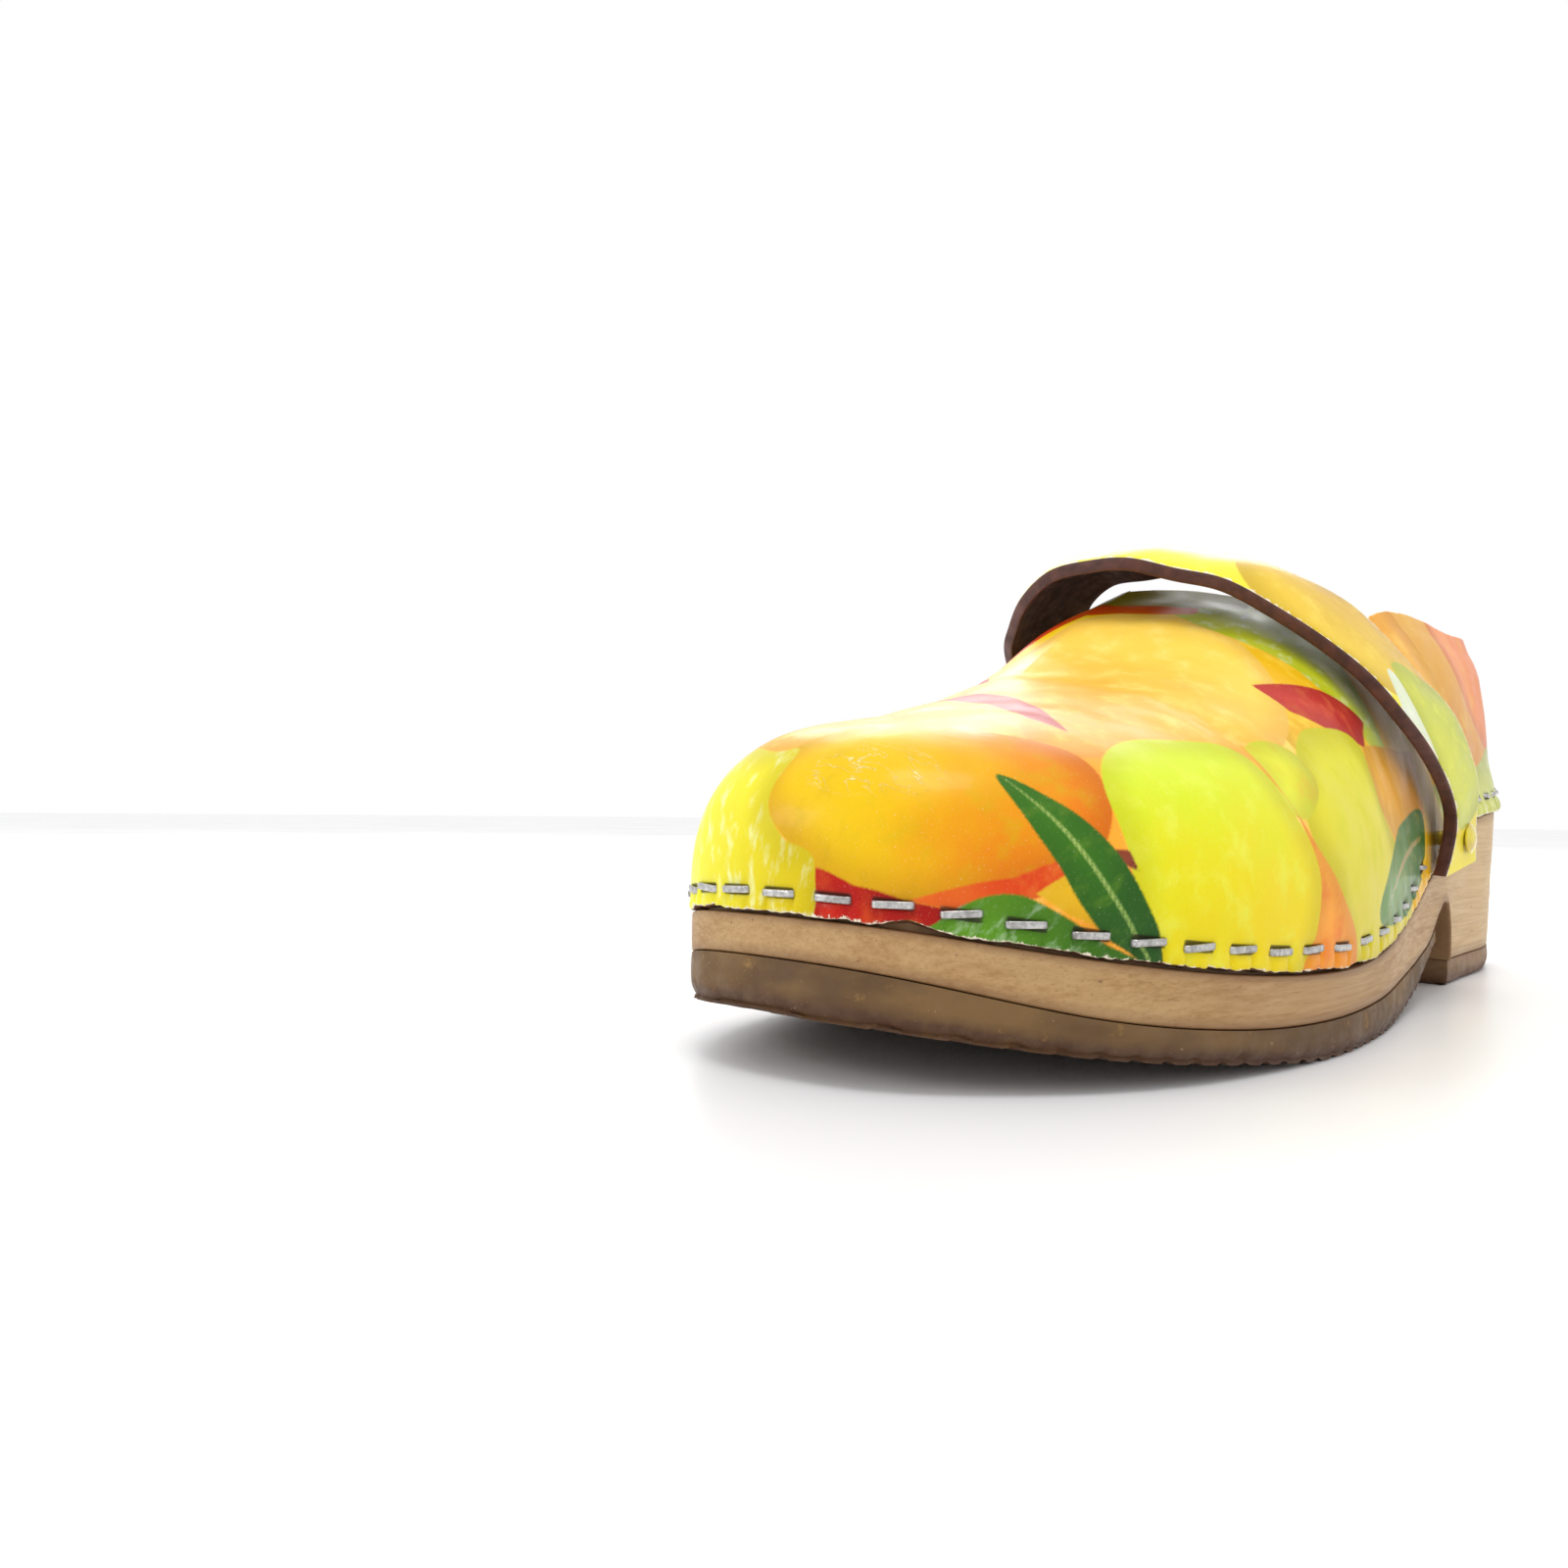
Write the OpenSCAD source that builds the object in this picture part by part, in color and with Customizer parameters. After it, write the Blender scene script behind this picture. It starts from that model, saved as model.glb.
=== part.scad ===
// Wooden clog, left foot: carved wood sole with a glued rubber forefoot sole
// and heel lift, stapled leather vamp and heel counter, and a leather instep
// strap that swings on one domed nail at each side.
// Toe points to -Y, heel to +Y, outer (lateral) side to +X, floor at z = 0.

/* [Sole] */
// Overall length of the sole
sole_l = 258; // [240:1:280]
// Width of the sole across the ball of the foot
ball_w = 94; // [88:1:100]
// Thickness of the wood above the leather's lower edge (the step the leather is stapled to)
step_h = 9; // [7:0.5:10]
// Thickness of the rubber lift under the heel
lift_h = 6; // [4:0.5:8]
// How far the heel tapers in at its foot
heel_taper = 1.8; // [0.5:0.1:3]
// Hollow of the footbed below its edge
bed_dish = 4; // [2:0.5:5]

/* [Upper] */
// Thickness of the leather
leather_t = 2.2; // [1.8:0.1:2.6]

/* [Strap] */
// Width of the instep strap
strap_w = 27; // [22:1:30]
// Thickness of the instep strap
strap_t = 2.8; // [2.2:0.1:3.2]

/* [Fasteners] */
// Distance between staples along the edge of the leather, round the toe and heel
staple_pitch = 8.8; // [8:0.2:12]
// How much wider they stand along the straight sides
side_gap = 0.4; // [0:0.05:0.5]
// Width of a staple's crown
staple_w = 5.6; // [4.5:0.1:6.5]
// Diameter of the pivot nail's shank
nail_d = 3.2; // [2.6:0.1:3.6]
// Diameter of the pivot nail's domed head
head_d = 6.5; // [5.5:0.5:8]

/* [Hidden] */
$fn = 48;
ky = sole_l/258;
kx = ball_w/94;

// ---- curves through hand-placed points ----
// slope at knot i of a table of [position, value]
function slope(k, i) = let(n = len(k) - 1)
  i == 0 ? (k[1][1] - k[0][1])/(k[1][0] - k[0][0]) :
  i == n ? (k[n][1] - k[n-1][1])/(k[n][0] - k[n-1][0]) :
  let(a = k[i][0] - k[i-1][0], b = k[i+1][0] - k[i][0],
      da = (k[i][1] - k[i-1][1])/a, db = (k[i+1][1] - k[i][1])/b)
  (da*b + db*a)/(a + b);
function spl(k, x, i = 0) =
  i < len(k) - 2 && x > k[i+1][0] ? spl(k, x, i + 1) :
  let(h = k[i+1][0] - k[i][0], t = min(1, max(0, (x - k[i][0])/h)), t2 = t*t, t3 = t2*t)
  (2*t3 - 3*t2 + 1)*k[i][1] + (t3 - 2*t2 + t)*h*slope(k, i)
  + (3*t2 - 2*t3)*k[i+1][1] + (t3 - t2)*h*slope(k, i + 1);
function smooth(a, b, x) = let(t = min(1, max(0, (x - a)/(b - a)))) t*t*(3 - 2*t);
function unit(v) = v/norm(v);

// ---- plan of the sole: 22 points, from the toe round the outer side to the heel and back ----
plan = [[-7, -129], [14, -124.5], [31, -108], [42, -85], [47, -55], [46, -28], [41, 5],
  [36.5, 40], [34.5, 70], [32.5, 98], [24, 120], [0, 129], [-24, 120], [-32, 98],
  [-33, 70], [-34, 40], [-39, 5], [-44.5, -28], [-47, -55], [-45.5, -85], [-38, -110], [-25, -125]];
function pt(i) = let(p = plan[(i + 44)%22]) [p[0]*kx, p[1]*ky];
// outline at u, where 0 is the toe, 11 the heel, 0 to 11 the outer side, 0 to -11 the inner side
function outl(u) = let(i = floor(u), t = u - i, a = pt(i-1), b = pt(i), c = pt(i+1), d = pt(i+2))
  0.5*(2*b + (c - a)*t + (2*a - 5*b + 4*c - d)*t*t + (3*b - a - 3*c + d)*t*t*t);
function outn(u) = let(d = outl(u + 0.02) - outl(u - 0.02)) unit([d[1], -d[0]]);
// outline moved in by d
function inset(u, d) = outl(u) - d*outn(u);

// ---- heights along the sole ----
rim_k = [[-129, 23.7], [-103, 18.7], [-77, 15.4], [-39, 14.1], [-13, 16.1], [13, 21.1],
  [31, 26.7], [52, 33], [77, 38.9], [103, 41.4], [129, 43.8]];
wood_k = [[-129, 17.5], [-103, 10.5], [-77, 7.2], [-40, 6.4], [-13, 7.4], [13, 9.8], [30, 13.2],
  [40, 18], [46, 20], [49, 19.5]];
tread_k = [[-129, 9.5], [-103, 5], [-77, 2], [-52, 0], [-22, 0], [2, 1.6], [18, 5], [32, 10.5]];
function rim_z(y) = spl(rim_k, y/ky);
breast_y = 49;
function wood_z(y) = let(q = y/ky) q > 49 ? max(lift_h, 19.5 - (q - 49)*(19.5 - lift_h)/6) : spl(wood_k, q);
function tread_z(y) = max(0, spl(tread_k, y/ky));

// ---- the last: each section rises from the rim to a ridge that leans forward ----
ridge_y = [[0, -103], [1, -101], [2, -95], [3, -84], [4, -68], [5, -49], [6, -29], [7, -13],
  [7.4, -7], [8, 14], [9, 56], [10, 84], [11, 94]];
ridge_x = [[-103, -8], [-80, -10], [-50, -12], [-10, -13], [25, -5], [94, 0]];
ridge_z = [[-103, 53], [-84, 57.5], [-68, 62], [-49, 68], [-29, 79.5], [-7, 89], [14, 99.5], [56, 102], [94, 110]];
// place along the sole counted from the toe, the same on both sides
function from_toe(u) = u > 11 ? 22 - u : abs(u);
function ridge(u) = let(y = spl(ridge_y, from_toe(u))) [kx*spl(ridge_x, y), ky*y, spl(ridge_z, y)];
// swell of the leather above the rim in front, and a small flare over the rim at the heel
function bulge(u, f) = let(v = from_toe(u))
  (0.5 + 1.1*smooth(1, 3, v))*sin(180*pow(f, 0.6))*(1 - f)*(1 - smooth(5.4, 6.8, v)) + 1.4*pow(max(0, 1 - f/0.11), 2)*smooth(8.2, 9.2, v) - 0.8*sin(180*min(1, f/0.5))*smooth(8.2, 9.2, v)
  - 3*smooth(0.3, 0.5, f)*smooth(8.2, 9.2, v);
// how square the section is: the instep is fuller on the inner side
function inner(u) = let(v = from_toe(u)) (u < 0 || u > 11 ? 1 : 0.15)*smooth(3.6, 6.4, v)*(1 - smooth(7.4, 9, v));
function round_heel(u) = let(v = from_toe(u)) smooth(8, 9.2, v)*(1 - 0.5*smooth(10, 11, v));
function full(u) = 1 - 0.26*inner(u) - 0.16*round_heel(u);
// how far a section's forward lean follows its height instead of its narrowing
function lean(u) = let(v = from_toe(u)) 0.8*smooth(3, 6.4, v)*(1 - smooth(8.6, 10.4, v));
// point on the leather's outer surface at u round the rim, f from 0 (rim) to 1 (ridge), moved in by d
function last(u, f, d = 0, lift = 0) =
  let(p = inset(u, d), r = ridge(u) - [0, 0, d], z0 = rim_z(outl(u)[1]) + lift,
      c = pow(1 - cos(90*f), 1.4 + 0.8*inner(u) + 0.45*round_heel(u)), s = pow(sin(90*f), full(u)), e = c + (s - c)*lean(u), b = bulge(u, f), n = outn(u))
  f >= 1 ? r : [p[0] + (r[0] - p[0])*c + b*n[0], p[1] + (r[1] - p[1])*e + b*n[1], z0 + (r[2] - z0)*s];
// share of the section that the counter's top edge reaches
top_k = [[6.8, 0.58], [7.4, 0.57], [8, 0.55], [8.8, 0.50], [9.6, 0.46], [10, 0.455], [10.4, 0.505], [10.75, 0.545], [11, 0.55]];
function top_f(u) = spl(top_k, from_toe(u));

// ---- surfaces ----
// closed shell from two grids of points with the same rows and columns
function quads(n, m, o, flip) = [for (i = [0:n-2], j = [0:m-2]) each
  let(a = o + i*m + j, b = a + 1, c = a + m + 1, d = a + m)
  flip ? [[a, d, c], [a, c, b]] : [[a, b, c], [a, c, d]]];
// edge strip between two rows of point numbers
function strip(p, q) = [for (i = [0:len(p)-2]) each [[p[i], q[i+1], p[i+1]], [p[i], q[i], q[i+1]]]];

// ---- sole: rings of points round the outline, from the middle of the underside to the middle of the footbed ----
us = [for (i = [0:30]) i/4.4, 7, 7.2, 7.3, 7.42, 7.56, 7.8, for (i = [0:12]) 8 + i/4];
ring_u = [for (u = us) u, for (i = [len(us)-2:-1:1]) -us[i]];
spine_k = [[-129, -110], [-105, -97], [-80, -80], [80, 80], [104, 98], [129, 110]];
function spine(u) = let(v = abs(u), l = outl(v), m = outl(-v), y = (l[1] + m[1])/2)
  [(l[0] + m[0])/2, ky*spl(spine_k, y/ky)];
function inward(u, s, d) = let(c = spine(u), p = inset(u, d)) c + (p - c)*s;
function heel_in(u) = let(y = outl(u)[1]/ky) heel_taper*smooth(50, 60, y);
function bed_z(u, p, s) = let(y = p[1]/ky, e = rim_z(p[1]) + step_h)
  e - bed_dish*(1 - s*s)*smooth(-129, -70, y)*(1 - 0.35*smooth(-20, 30, y) + 0.35*smooth(50, 90, y))
  + 2.5*max(0, -p[0]/34)*exp(-pow((y - 25)/28, 2))*s*s;
function deep(u) = let(y = outl(u)[1]/ky) leather_t + 0.15 + (leather_t + 0.15)*smooth(22, 27, y)*(1 - smooth(59, 63, y))
  + 0.9*smooth(19, 25, y);

function sole_ring(k, u) = let(o = outl(u), y = o[1])
  k == 0 ? let(p = spine(u)) [p[0], p[1], wood_z(p[1])] :
  k == 1 ? let(p = inward(u, 0.5, heel_in(u))) [p[0], p[1], wood_z(p[1])] :
  k == 2 ? let(p = inward(u, 1, heel_in(u))) [p[0], p[1], wood_z(y)] :
  k == 3 ? [o[0], o[1], rim_z(y) - 0.15] :
  k == 4 ? let(p = inset(u, deep(u))) [p[0], p[1], rim_z(y) - 0.15] :
  k == 5 ? let(p = inset(u, deep(u))) [p[0], p[1], rim_z(y) + step_h - 1.5] :
  k == 6 ? let(p = inset(u, deep(u) + 1.3)) [p[0], p[1], rim_z(y) + step_h] :
  let(s = [0.8, 0.55, 0.28, 0][k - 7], p = inward(u, s, deep(u) + 1.3)) [p[0], p[1], bed_z(u, p, s)];

// faces between m rings of n points; the first and last rings fold shut on the spine
function ring_faces(m, n) = [for (k = [0:m-2], i = [0:n-1]) each
  let(a = k*n + i, b = k*n + (i+1)%n, c = b + n, d = a + n) [[a, c, b], [a, d, c]]];

module sole_block() {
  n = len(ring_u);
  color([0.82, 0.68, 0.50]) difference() {
    polyhedron([for (k = [0:10], u = ring_u) sole_ring(k, u)], ring_faces(11, n));
    // pilot holes for the two pivot nails
    pivot_holes(nail_d);
  }
}

// ---- rubber ----
out_u = [for (i = [0:28]) i/4.4, 6.6, 6.8];
module forefoot_outsole() {
  // rows across the sole from toe to waist, each from the inner to the outer edge
  cols = [-1, -0.96, -0.5, 0, 0.5, 0.96, 1];
  n = len(out_u); m = len(cols);
  function on(v, c, d) = inward(c < 0 ? -v : v, abs(c), abs(c) == 1 ? d : 0);
  color([0.45, 0.34, 0.20]) polyhedron(
    [for (v = out_u, c = cols) let(p = on(v, c, 0)) [p[0], p[1], wood_z(p[1]) - 0.05],
     for (v = out_u, c = cols) let(p = on(v, c, 0.4)) [p[0], p[1], tread_z(p[1]) + (abs(c) == 1 ? 1.2 : 0)]],
    concat(quads(n, m, 0, true), quads(n, m, n*m, false),
      strip([for (i = [0:n-1]) i*m], [for (i = [0:n-1]) n*m + i*m]),
      strip([for (i = [n-1:-1:0]) i*m + m - 1], [for (i = [n-1:-1:0]) n*m + i*m + m - 1]),
      strip([for (j = [0:m-1]) (n-1)*m + j], [for (j = [0:m-1]) n*m + (n-1)*m + j])));
}

module heel_lift() {
  lu = [7.5, for (i = [31:57]) i/4, 14.5];
  color([0.40, 0.29, 0.17]) intersection() {
    linear_extrude(height = lift_h - 0.05) polygon([for (u = lu) inset(u, heel_taper)]);
    translate([-60, 55.3*ky, -1]) cube([120, 90, lift_h + 2]);
  }
}

// ---- leather ----
vamp_end = 7.35;
vu = [for (i = [-24:24]) vamp_end*sign(i)*pow(abs(i)/24, 0.9)];
vf = [for (j = [0:14]) pow(j/14, 1.15)];
module pivot_holes(d) {
  translate([pivot_x - 17, pivot_y, pivot_z]) rotate([0, 90, 0]) cylinder(d = d, h = 24);
  translate([-pivot_mx + 17, pivot_y, pivot_z]) rotate([0, -90, 0]) cylinder(d = d, h = 24);
}
module vamp() {
  n = len(vu); m = len(vf);
  color([0.90, 0.62, 0.12]) difference() {
    polyhedron(
      [for (u = vu, f = vf) last(u, f), for (u = vu, f = vf) last(u, f, leather_t)],
      concat(quads(n, m, 0, false), quads(n, m, n*m, true),
        strip([for (i = [n-1:-1:0]) i*m], [for (i = [n-1:-1:0]) n*m + i*m]),
        strip([for (j = [0:m-1]) j], [for (j = [0:m-1]) n*m + j]),
        strip([for (j = [m-1:-1:0]) (n-1)*m + j], [for (j = [m-1:-1:0]) n*m + (n-1)*m + j])));
    pivot_holes(nail_d);
  }
}

// the counter tucks in under the vamp's rear edges, one leather thickness deeper
function tuck(u) = (leather_t + 0.15)*(1 - smooth(7.38, 7.64, from_toe(u)));
cu = [for (i = [0:7]) 6.86 + i*0.12, for (i = [1:25]) 7.7 + i*6.6/26, for (i = [7:-1:0]) 15.14 - i*0.12];
module heel_counter() {
  n = len(cu); m = 11;
  color([0.92, 0.55, 0.30]) difference() {
    polyhedron(
      [for (u = cu, j = [0:m-1]) last(u, top_f(u)*j/(m-1), tuck(u)),
       for (u = cu, j = [0:m-1]) last(u, top_f(u)*j/(m-1), tuck(u) + leather_t)],
      concat(quads(n, m, 0, false), quads(n, m, n*m, true),
        strip([for (i = [n-1:-1:0]) i*m], [for (i = [n-1:-1:0]) n*m + i*m]),
        strip([for (i = [0:n-1]) i*m + m - 1], [for (i = [0:n-1]) n*m + i*m + m - 1]),
        strip([for (j = [0:m-1]) j], [for (j = [0:m-1]) n*m + j]),
        strip([for (j = [m-1:-1:0]) (n-1)*m + j], [for (j = [m-1:-1:0]) n*m + (n-1)*m + j])));
    pivot_holes(nail_d);
  }
}

// ---- strap ----
// the line the strap turns about runs across the shoe through its two nails
pivot_y = 41*ky;
pivot_z = 34.5;
pivot_x = 36.4*kx;
pivot_mx = 34.1*kx;
// front and rear edge of the strap's outer face, from the outer end over the crown to the inner end
// over the crown the strap's front edge lies in one plane that falls 45 degrees forward
function crown(q, x, y, rx, ry, rz) = [q, [x, y, 60 - y, rx, ry, rz]];
strap_k = [[0, [41.3, 27, 26.5, 41.3, 49, 29.5]], [1, [41.6, 30, 30.5, 41.4, 49, 38]], [2, [42.6, 30, 36.5, 42.2, 47.5, 45]],
  [3, [43.8, 24, 42, 42.9, 41.5, 51]], [4, [45, 10, 49.5, 41.5, 31.5, 61.5]], [5, [43.5, -2.5, 57.5, 36.5, 22, 71]],
  [6, [39, -10, 66, 32, 14.5, 78.5]], [7, [32, -16, 73.5, 27, 10, 84.5]], crown(8, 24, -20, 20.5, 6, 89),
  crown(9, 16.5, -25, 13.5, 2, 91.5), crown(10, 8, -28, 6, -1, 93), crown(11, -1, -31, -2, -3.5, 94),
  crown(12, -10, -31.5, -10.5, -4, 94), crown(13, -20, -30.5, -20, -3, 94), crown(14, -29.5, -26.5, -28, 0, 91),
  crown(15, -36, -21.5, -33.5, 5, 87), [16, [-40.5, -16.5, 76.5, -37, 10.5, 81.5]], [17, [-43.5, -7, 67.5, -40, 18, 74]],
  [18, [-44, 3, 58.5, -41.5, 27.5, 65.5]], [19, [-43.5, 13, 50, -41.5, 36, 57.5]], [20, [-42, 23.5, 42, -41, 43.5, 50]],
  [21, [-39.6, 30.5, 35, -39.6, 49, 42]], [22, [-39.3, 29, 29.5, -39.3, 49.5, 35]], [23, [-39.3, 27, 26.5, -39.3, 49, 29.5]]];
strap_end = 23;
function edges(q) = spl(strap_k, min(strap_end, max(0, q)));
// a place on the outer face: q along the strap, b from 0 (front edge) to 1 (rear edge)
function flat_at(q, b) = let(v = edges(q), f = [v[0]*kx, v[1]*ky, v[2]], g = [v[3]*kx, v[4]*ky, v[5]], w = strap_w/27)
  f + (g - f)*(0.5 + (b - 0.5)*w);
function strap_n(q, b) = unit(cross(flat_at(q, 1) - flat_at(q, 0),
  flat_at(min(strap_end, q + 0.1), b) - flat_at(max(0, q - 0.1), b)));
function strap_pt(q, b, d) = flat_at(q, b) + strap_n(q, b)*(b*(1 - b)*(3.2*smooth(1, 4, q)*(1 - smooth(19, 22, q)) + 9.5*smooth(6.5, 9.5, q)*(1 - smooth(13.5, 16.5, q))) - d);
sq = [0, 0.5, 1, for (i = [3:42]) i/2, 21.5, 22, 22.5, 23];
module instep_strap() {
  e = 0.02; t = strap_t; k = 0.45;
  ring = [[0.5, 0], [1 - e, 0], [1, k], [1, t - k], [1 - e, t], [0.5, t], [e, t], [0, t - k], [0, k], [e, 0]];
  n = len(sq); m = len(ring);
  color([0.88, 0.80, 0.30]) difference() {
    polyhedron([for (q = sq, r = ring) strap_pt(q, r[0], r[1])],
      concat([for (i = [0:n-2], j = [0:m-1]) each
        let(a = i*m + j, b = i*m + (j+1)%m, c = b + m, d = a + m) [[a, c, b], [a, d, c]]],
        [for (j = [1:m-2]) [0, j, j + 1]], [for (j = [1:m-2]) let(o = (n-1)*m) [o, o + j + 1, o + j]]));
    pivot_holes(nail_d + 0.1);
  }
}

// ---- fasteners ----
// distance from the wood's side to the underside of each nail's head
nail_out = 5.6;
nail_mout = 5.9;
// low domed head: its height and the radius of its dome
head_h = 1.3;
head_r = (head_d*head_d/4 + 1)/2;
module nail(out) {
  // turned about the shank, the head's underside at x = out
  rotate([0, 90, 0]) union() {
    translate([0, 0, -16]) cylinder(d = nail_d, h = 16 + out);
    translate([0, 0, out]) rotate_extrude() intersection() {
      translate([0, head_h - head_r]) circle(r = head_r, $fn = 128);
      square([head_d/2, head_h]);
    }
  }
}
module lateral_pivot_nail() {
  color("silver") translate([pivot_x, pivot_y, pivot_z]) nail(nail_out);
}
module medial_pivot_nail() {
  color("silver") translate([-pivot_mx, pivot_y, pivot_z]) mirror([1, 0, 0]) nail(nail_mout);
}
// one staple: flat crown on the leather, two legs into the wood, drawn at the rim point u
module staple(u) {
  y = outl(u)[1]; z0 = rim_z(y); nn = outn(u); w = staple_w; t = 0.8; up = 3.3 + 0.9*smooth(-110, -20, y/ky);
  translate(last(u, asin(pow(up/(ridge(u)[2] - z0), 1/full(u)))/90))
    rotate([0, 0, atan2(nn[1], nn[0]) - 90])
      translate([0, 0.4, -0.6]) linear_extrude(height = 1.2)
        polygon([[-w/2, 0], [-w/2, -5.3], [-w/2 + t, -5.9], [-w/2 + t, -t], [w/2 - t, -t], [w/2 - t, -5.9], [w/2, -5.3], [w/2, 0],
          [w/2 - 0.5, 0.35], [-w/2 + 0.5, 0.35]]);
}
// the places that sit one pitch apart along the outline; the pitch opens out along the straight sides
function step_u(u, d, du = 0.02) = d <= 0 ? u : step_u(u + du, d - norm(outl(u + du) - outl(u)), du);
function walk(u, last_u, d) = u > last_u ? [] : concat([u], walk(step_u(u, d*(1 + side_gap*smooth(3, 5, u)*(1 - smooth(7, 8, u)))), last_u, d));
module vamp_staples() {
  color([0.62, 0.63, 0.64]) {
    for (u = walk(0.22, 6.8, staple_pitch)) staple(u);
    for (u = walk(0.22, 6.8, staple_pitch)) staple(-u);
  }
}
module counter_staples() {
  color([0.62, 0.63, 0.64]) for (u = walk(8.06, 13.95, staple_pitch)) staple(u);
}

sole_block();
forefoot_outsole();
heel_lift();
vamp();
heel_counter();
vamp_staples();
counter_staples();
instep_strap();
lateral_pivot_nail();
medial_pivot_nail();
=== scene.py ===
# Looks of a left-foot wooden clog: printed glossy leather vamp and heel counter stapled to a wood sole, loose instep strap.
import math

import bpy
import numpy as np
from mathutils import Matrix


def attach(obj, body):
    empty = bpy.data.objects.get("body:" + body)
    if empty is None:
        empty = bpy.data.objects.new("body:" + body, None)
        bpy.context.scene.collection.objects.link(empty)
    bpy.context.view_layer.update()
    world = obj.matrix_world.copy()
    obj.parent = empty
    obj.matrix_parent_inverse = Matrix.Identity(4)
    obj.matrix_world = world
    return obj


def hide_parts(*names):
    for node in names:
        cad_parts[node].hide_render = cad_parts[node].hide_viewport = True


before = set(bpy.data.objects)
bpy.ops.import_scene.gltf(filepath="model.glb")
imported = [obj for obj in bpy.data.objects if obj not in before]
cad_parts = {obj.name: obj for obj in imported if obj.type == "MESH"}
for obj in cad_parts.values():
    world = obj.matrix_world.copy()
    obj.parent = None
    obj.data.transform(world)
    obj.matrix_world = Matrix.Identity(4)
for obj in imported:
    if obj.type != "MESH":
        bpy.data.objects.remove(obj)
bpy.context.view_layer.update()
# ---------------------------------------------------------------- the shoe's own curves, in millimetres, as in the design
def knots(k):
    xs = np.array([a for a, _ in k], float)
    v = np.array([b for _, b in k], float)
    if v.ndim == 1:
        v = v[:, None]
    n = len(xs) - 1
    m = np.zeros_like(v)
    m[0] = (v[1] - v[0]) / (xs[1] - xs[0])
    m[n] = (v[n] - v[n - 1]) / (xs[n] - xs[n - 1])
    for i in range(1, n):
        a, b = xs[i] - xs[i - 1], xs[i + 1] - xs[i]
        m[i] = ((v[i] - v[i - 1]) / a * b + (v[i + 1] - v[i]) / b * a) / (a + b)
    return xs, v, m


def spl(k, x):
    xs, v, m = k
    x = np.asarray(x, float)
    i = np.clip(np.searchsorted(xs[1:], x, side="left"), 0, len(xs) - 2)
    h = xs[i + 1] - xs[i]
    t = np.clip((x - xs[i]) / h, 0, 1)[..., None]
    h = h[..., None]
    t2, t3 = t * t, t * t * t
    r = (2 * t3 - 3 * t2 + 1) * v[i] + (t3 - 2 * t2 + t) * h * m[i] + (3 * t2 - 2 * t3) * v[i + 1] + (t3 - t2) * h * m[i + 1]
    return r[..., 0] if v.shape[1] == 1 else r


def smooth(a, b, x):
    t = np.clip((np.asarray(x, float) - a) / (b - a), 0, 1)
    return t * t * (3 - 2 * t)


PLAN = np.array([(-7, -129), (14, -124.5), (31, -108), (42, -85), (47, -55), (46, -28), (41, 5), (36.5, 40), (34.5, 70), (32.5, 98), (24, 120),
                 (0, 129), (-24, 120), (-32, 98), (-33, 70), (-34, 40), (-39, 5), (-44.5, -28), (-47, -55), (-45.5, -85), (-38, -110), (-25, -125)], float)
RIM = knots([(-129, 23.7), (-103, 18.7), (-77, 15.4), (-39, 14.1), (-13, 16.1), (13, 21.1), (31, 26.7), (52, 33), (77, 38.9), (103, 41.4), (129, 43.8)])
WOODK = knots([(-129, 17.5), (-103, 10.5), (-77, 7.2), (-40, 6.4), (-13, 7.4), (13, 9.8), (30, 13.2), (40, 18), (46, 20), (49, 19.5)])
TREAD = knots([(-129, 9.5), (-103, 5), (-77, 2), (-52, 0), (-22, 0), (2, 1.6), (18, 5), (32, 10.5)])
RY = knots([(0, -103), (1, -101), (2, -95), (3, -84), (4, -68), (5, -49), (6, -29), (7, -13), (7.4, -7), (8, 14), (9, 56), (10, 84), (11, 94)])
RX = knots([(-103, -8), (-80, -10), (-50, -12), (-10, -13), (25, -5), (94, 0)])
RZ = knots([(-103, 53), (-84, 57.5), (-68, 62), (-49, 68), (-29, 79.5), (-7, 89), (14, 99.5), (56, 102), (94, 110)])
TOP = knots([(6.8, 0.58), (7.4, 0.57), (8, 0.55), (8.8, 0.50), (9.6, 0.46), (10, 0.455), (10.4, 0.505), (10.75, 0.545), (11, 0.55)])
SPINE = knots([(-129, -110), (-105, -97), (-80, -80), (80, 80), (104, 98), (129, 110)])
LIFT = 6.0


def rim_z(y):
    return spl(RIM, y)


def wood_z(y):
    y = np.asarray(y, float)
    return np.where(y > 49, np.maximum(LIFT, 19.5 - (y - 49) * (19.5 - LIFT) / 6), spl(WOODK, y))


def tread_z(y):
    return np.maximum(0.0, spl(TREAD, y))


def outl(u):
    u = np.asarray(u, float)
    i = np.floor(u).astype(int)
    t = (u - i)[..., None]
    a, b, c, d = [PLAN[(i + j + 44) % 22] for j in (-1, 0, 1, 2)]
    return 0.5 * (2 * b + (c - a) * t + (2 * a - 5 * b + 4 * c - d) * t * t + (3 * b - a - 3 * c + d) * t ** 3)


def outn(u):
    d = outl(np.asarray(u) + 0.02) - outl(np.asarray(u) - 0.02)
    n = np.stack([d[..., 1], -d[..., 0]], -1)
    return n / np.linalg.norm(n, axis=-1, keepdims=True)


def inset(u, d):
    return outl(u) - np.asarray(d)[..., None] * outn(u)


def from_toe(u):
    u = np.asarray(u, float)
    return np.where(u > 11, 22 - u, np.abs(u))


def ridge(u):
    y = spl(RY, from_toe(u))
    return np.stack([spl(RX, y), y, spl(RZ, y)], -1)


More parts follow.
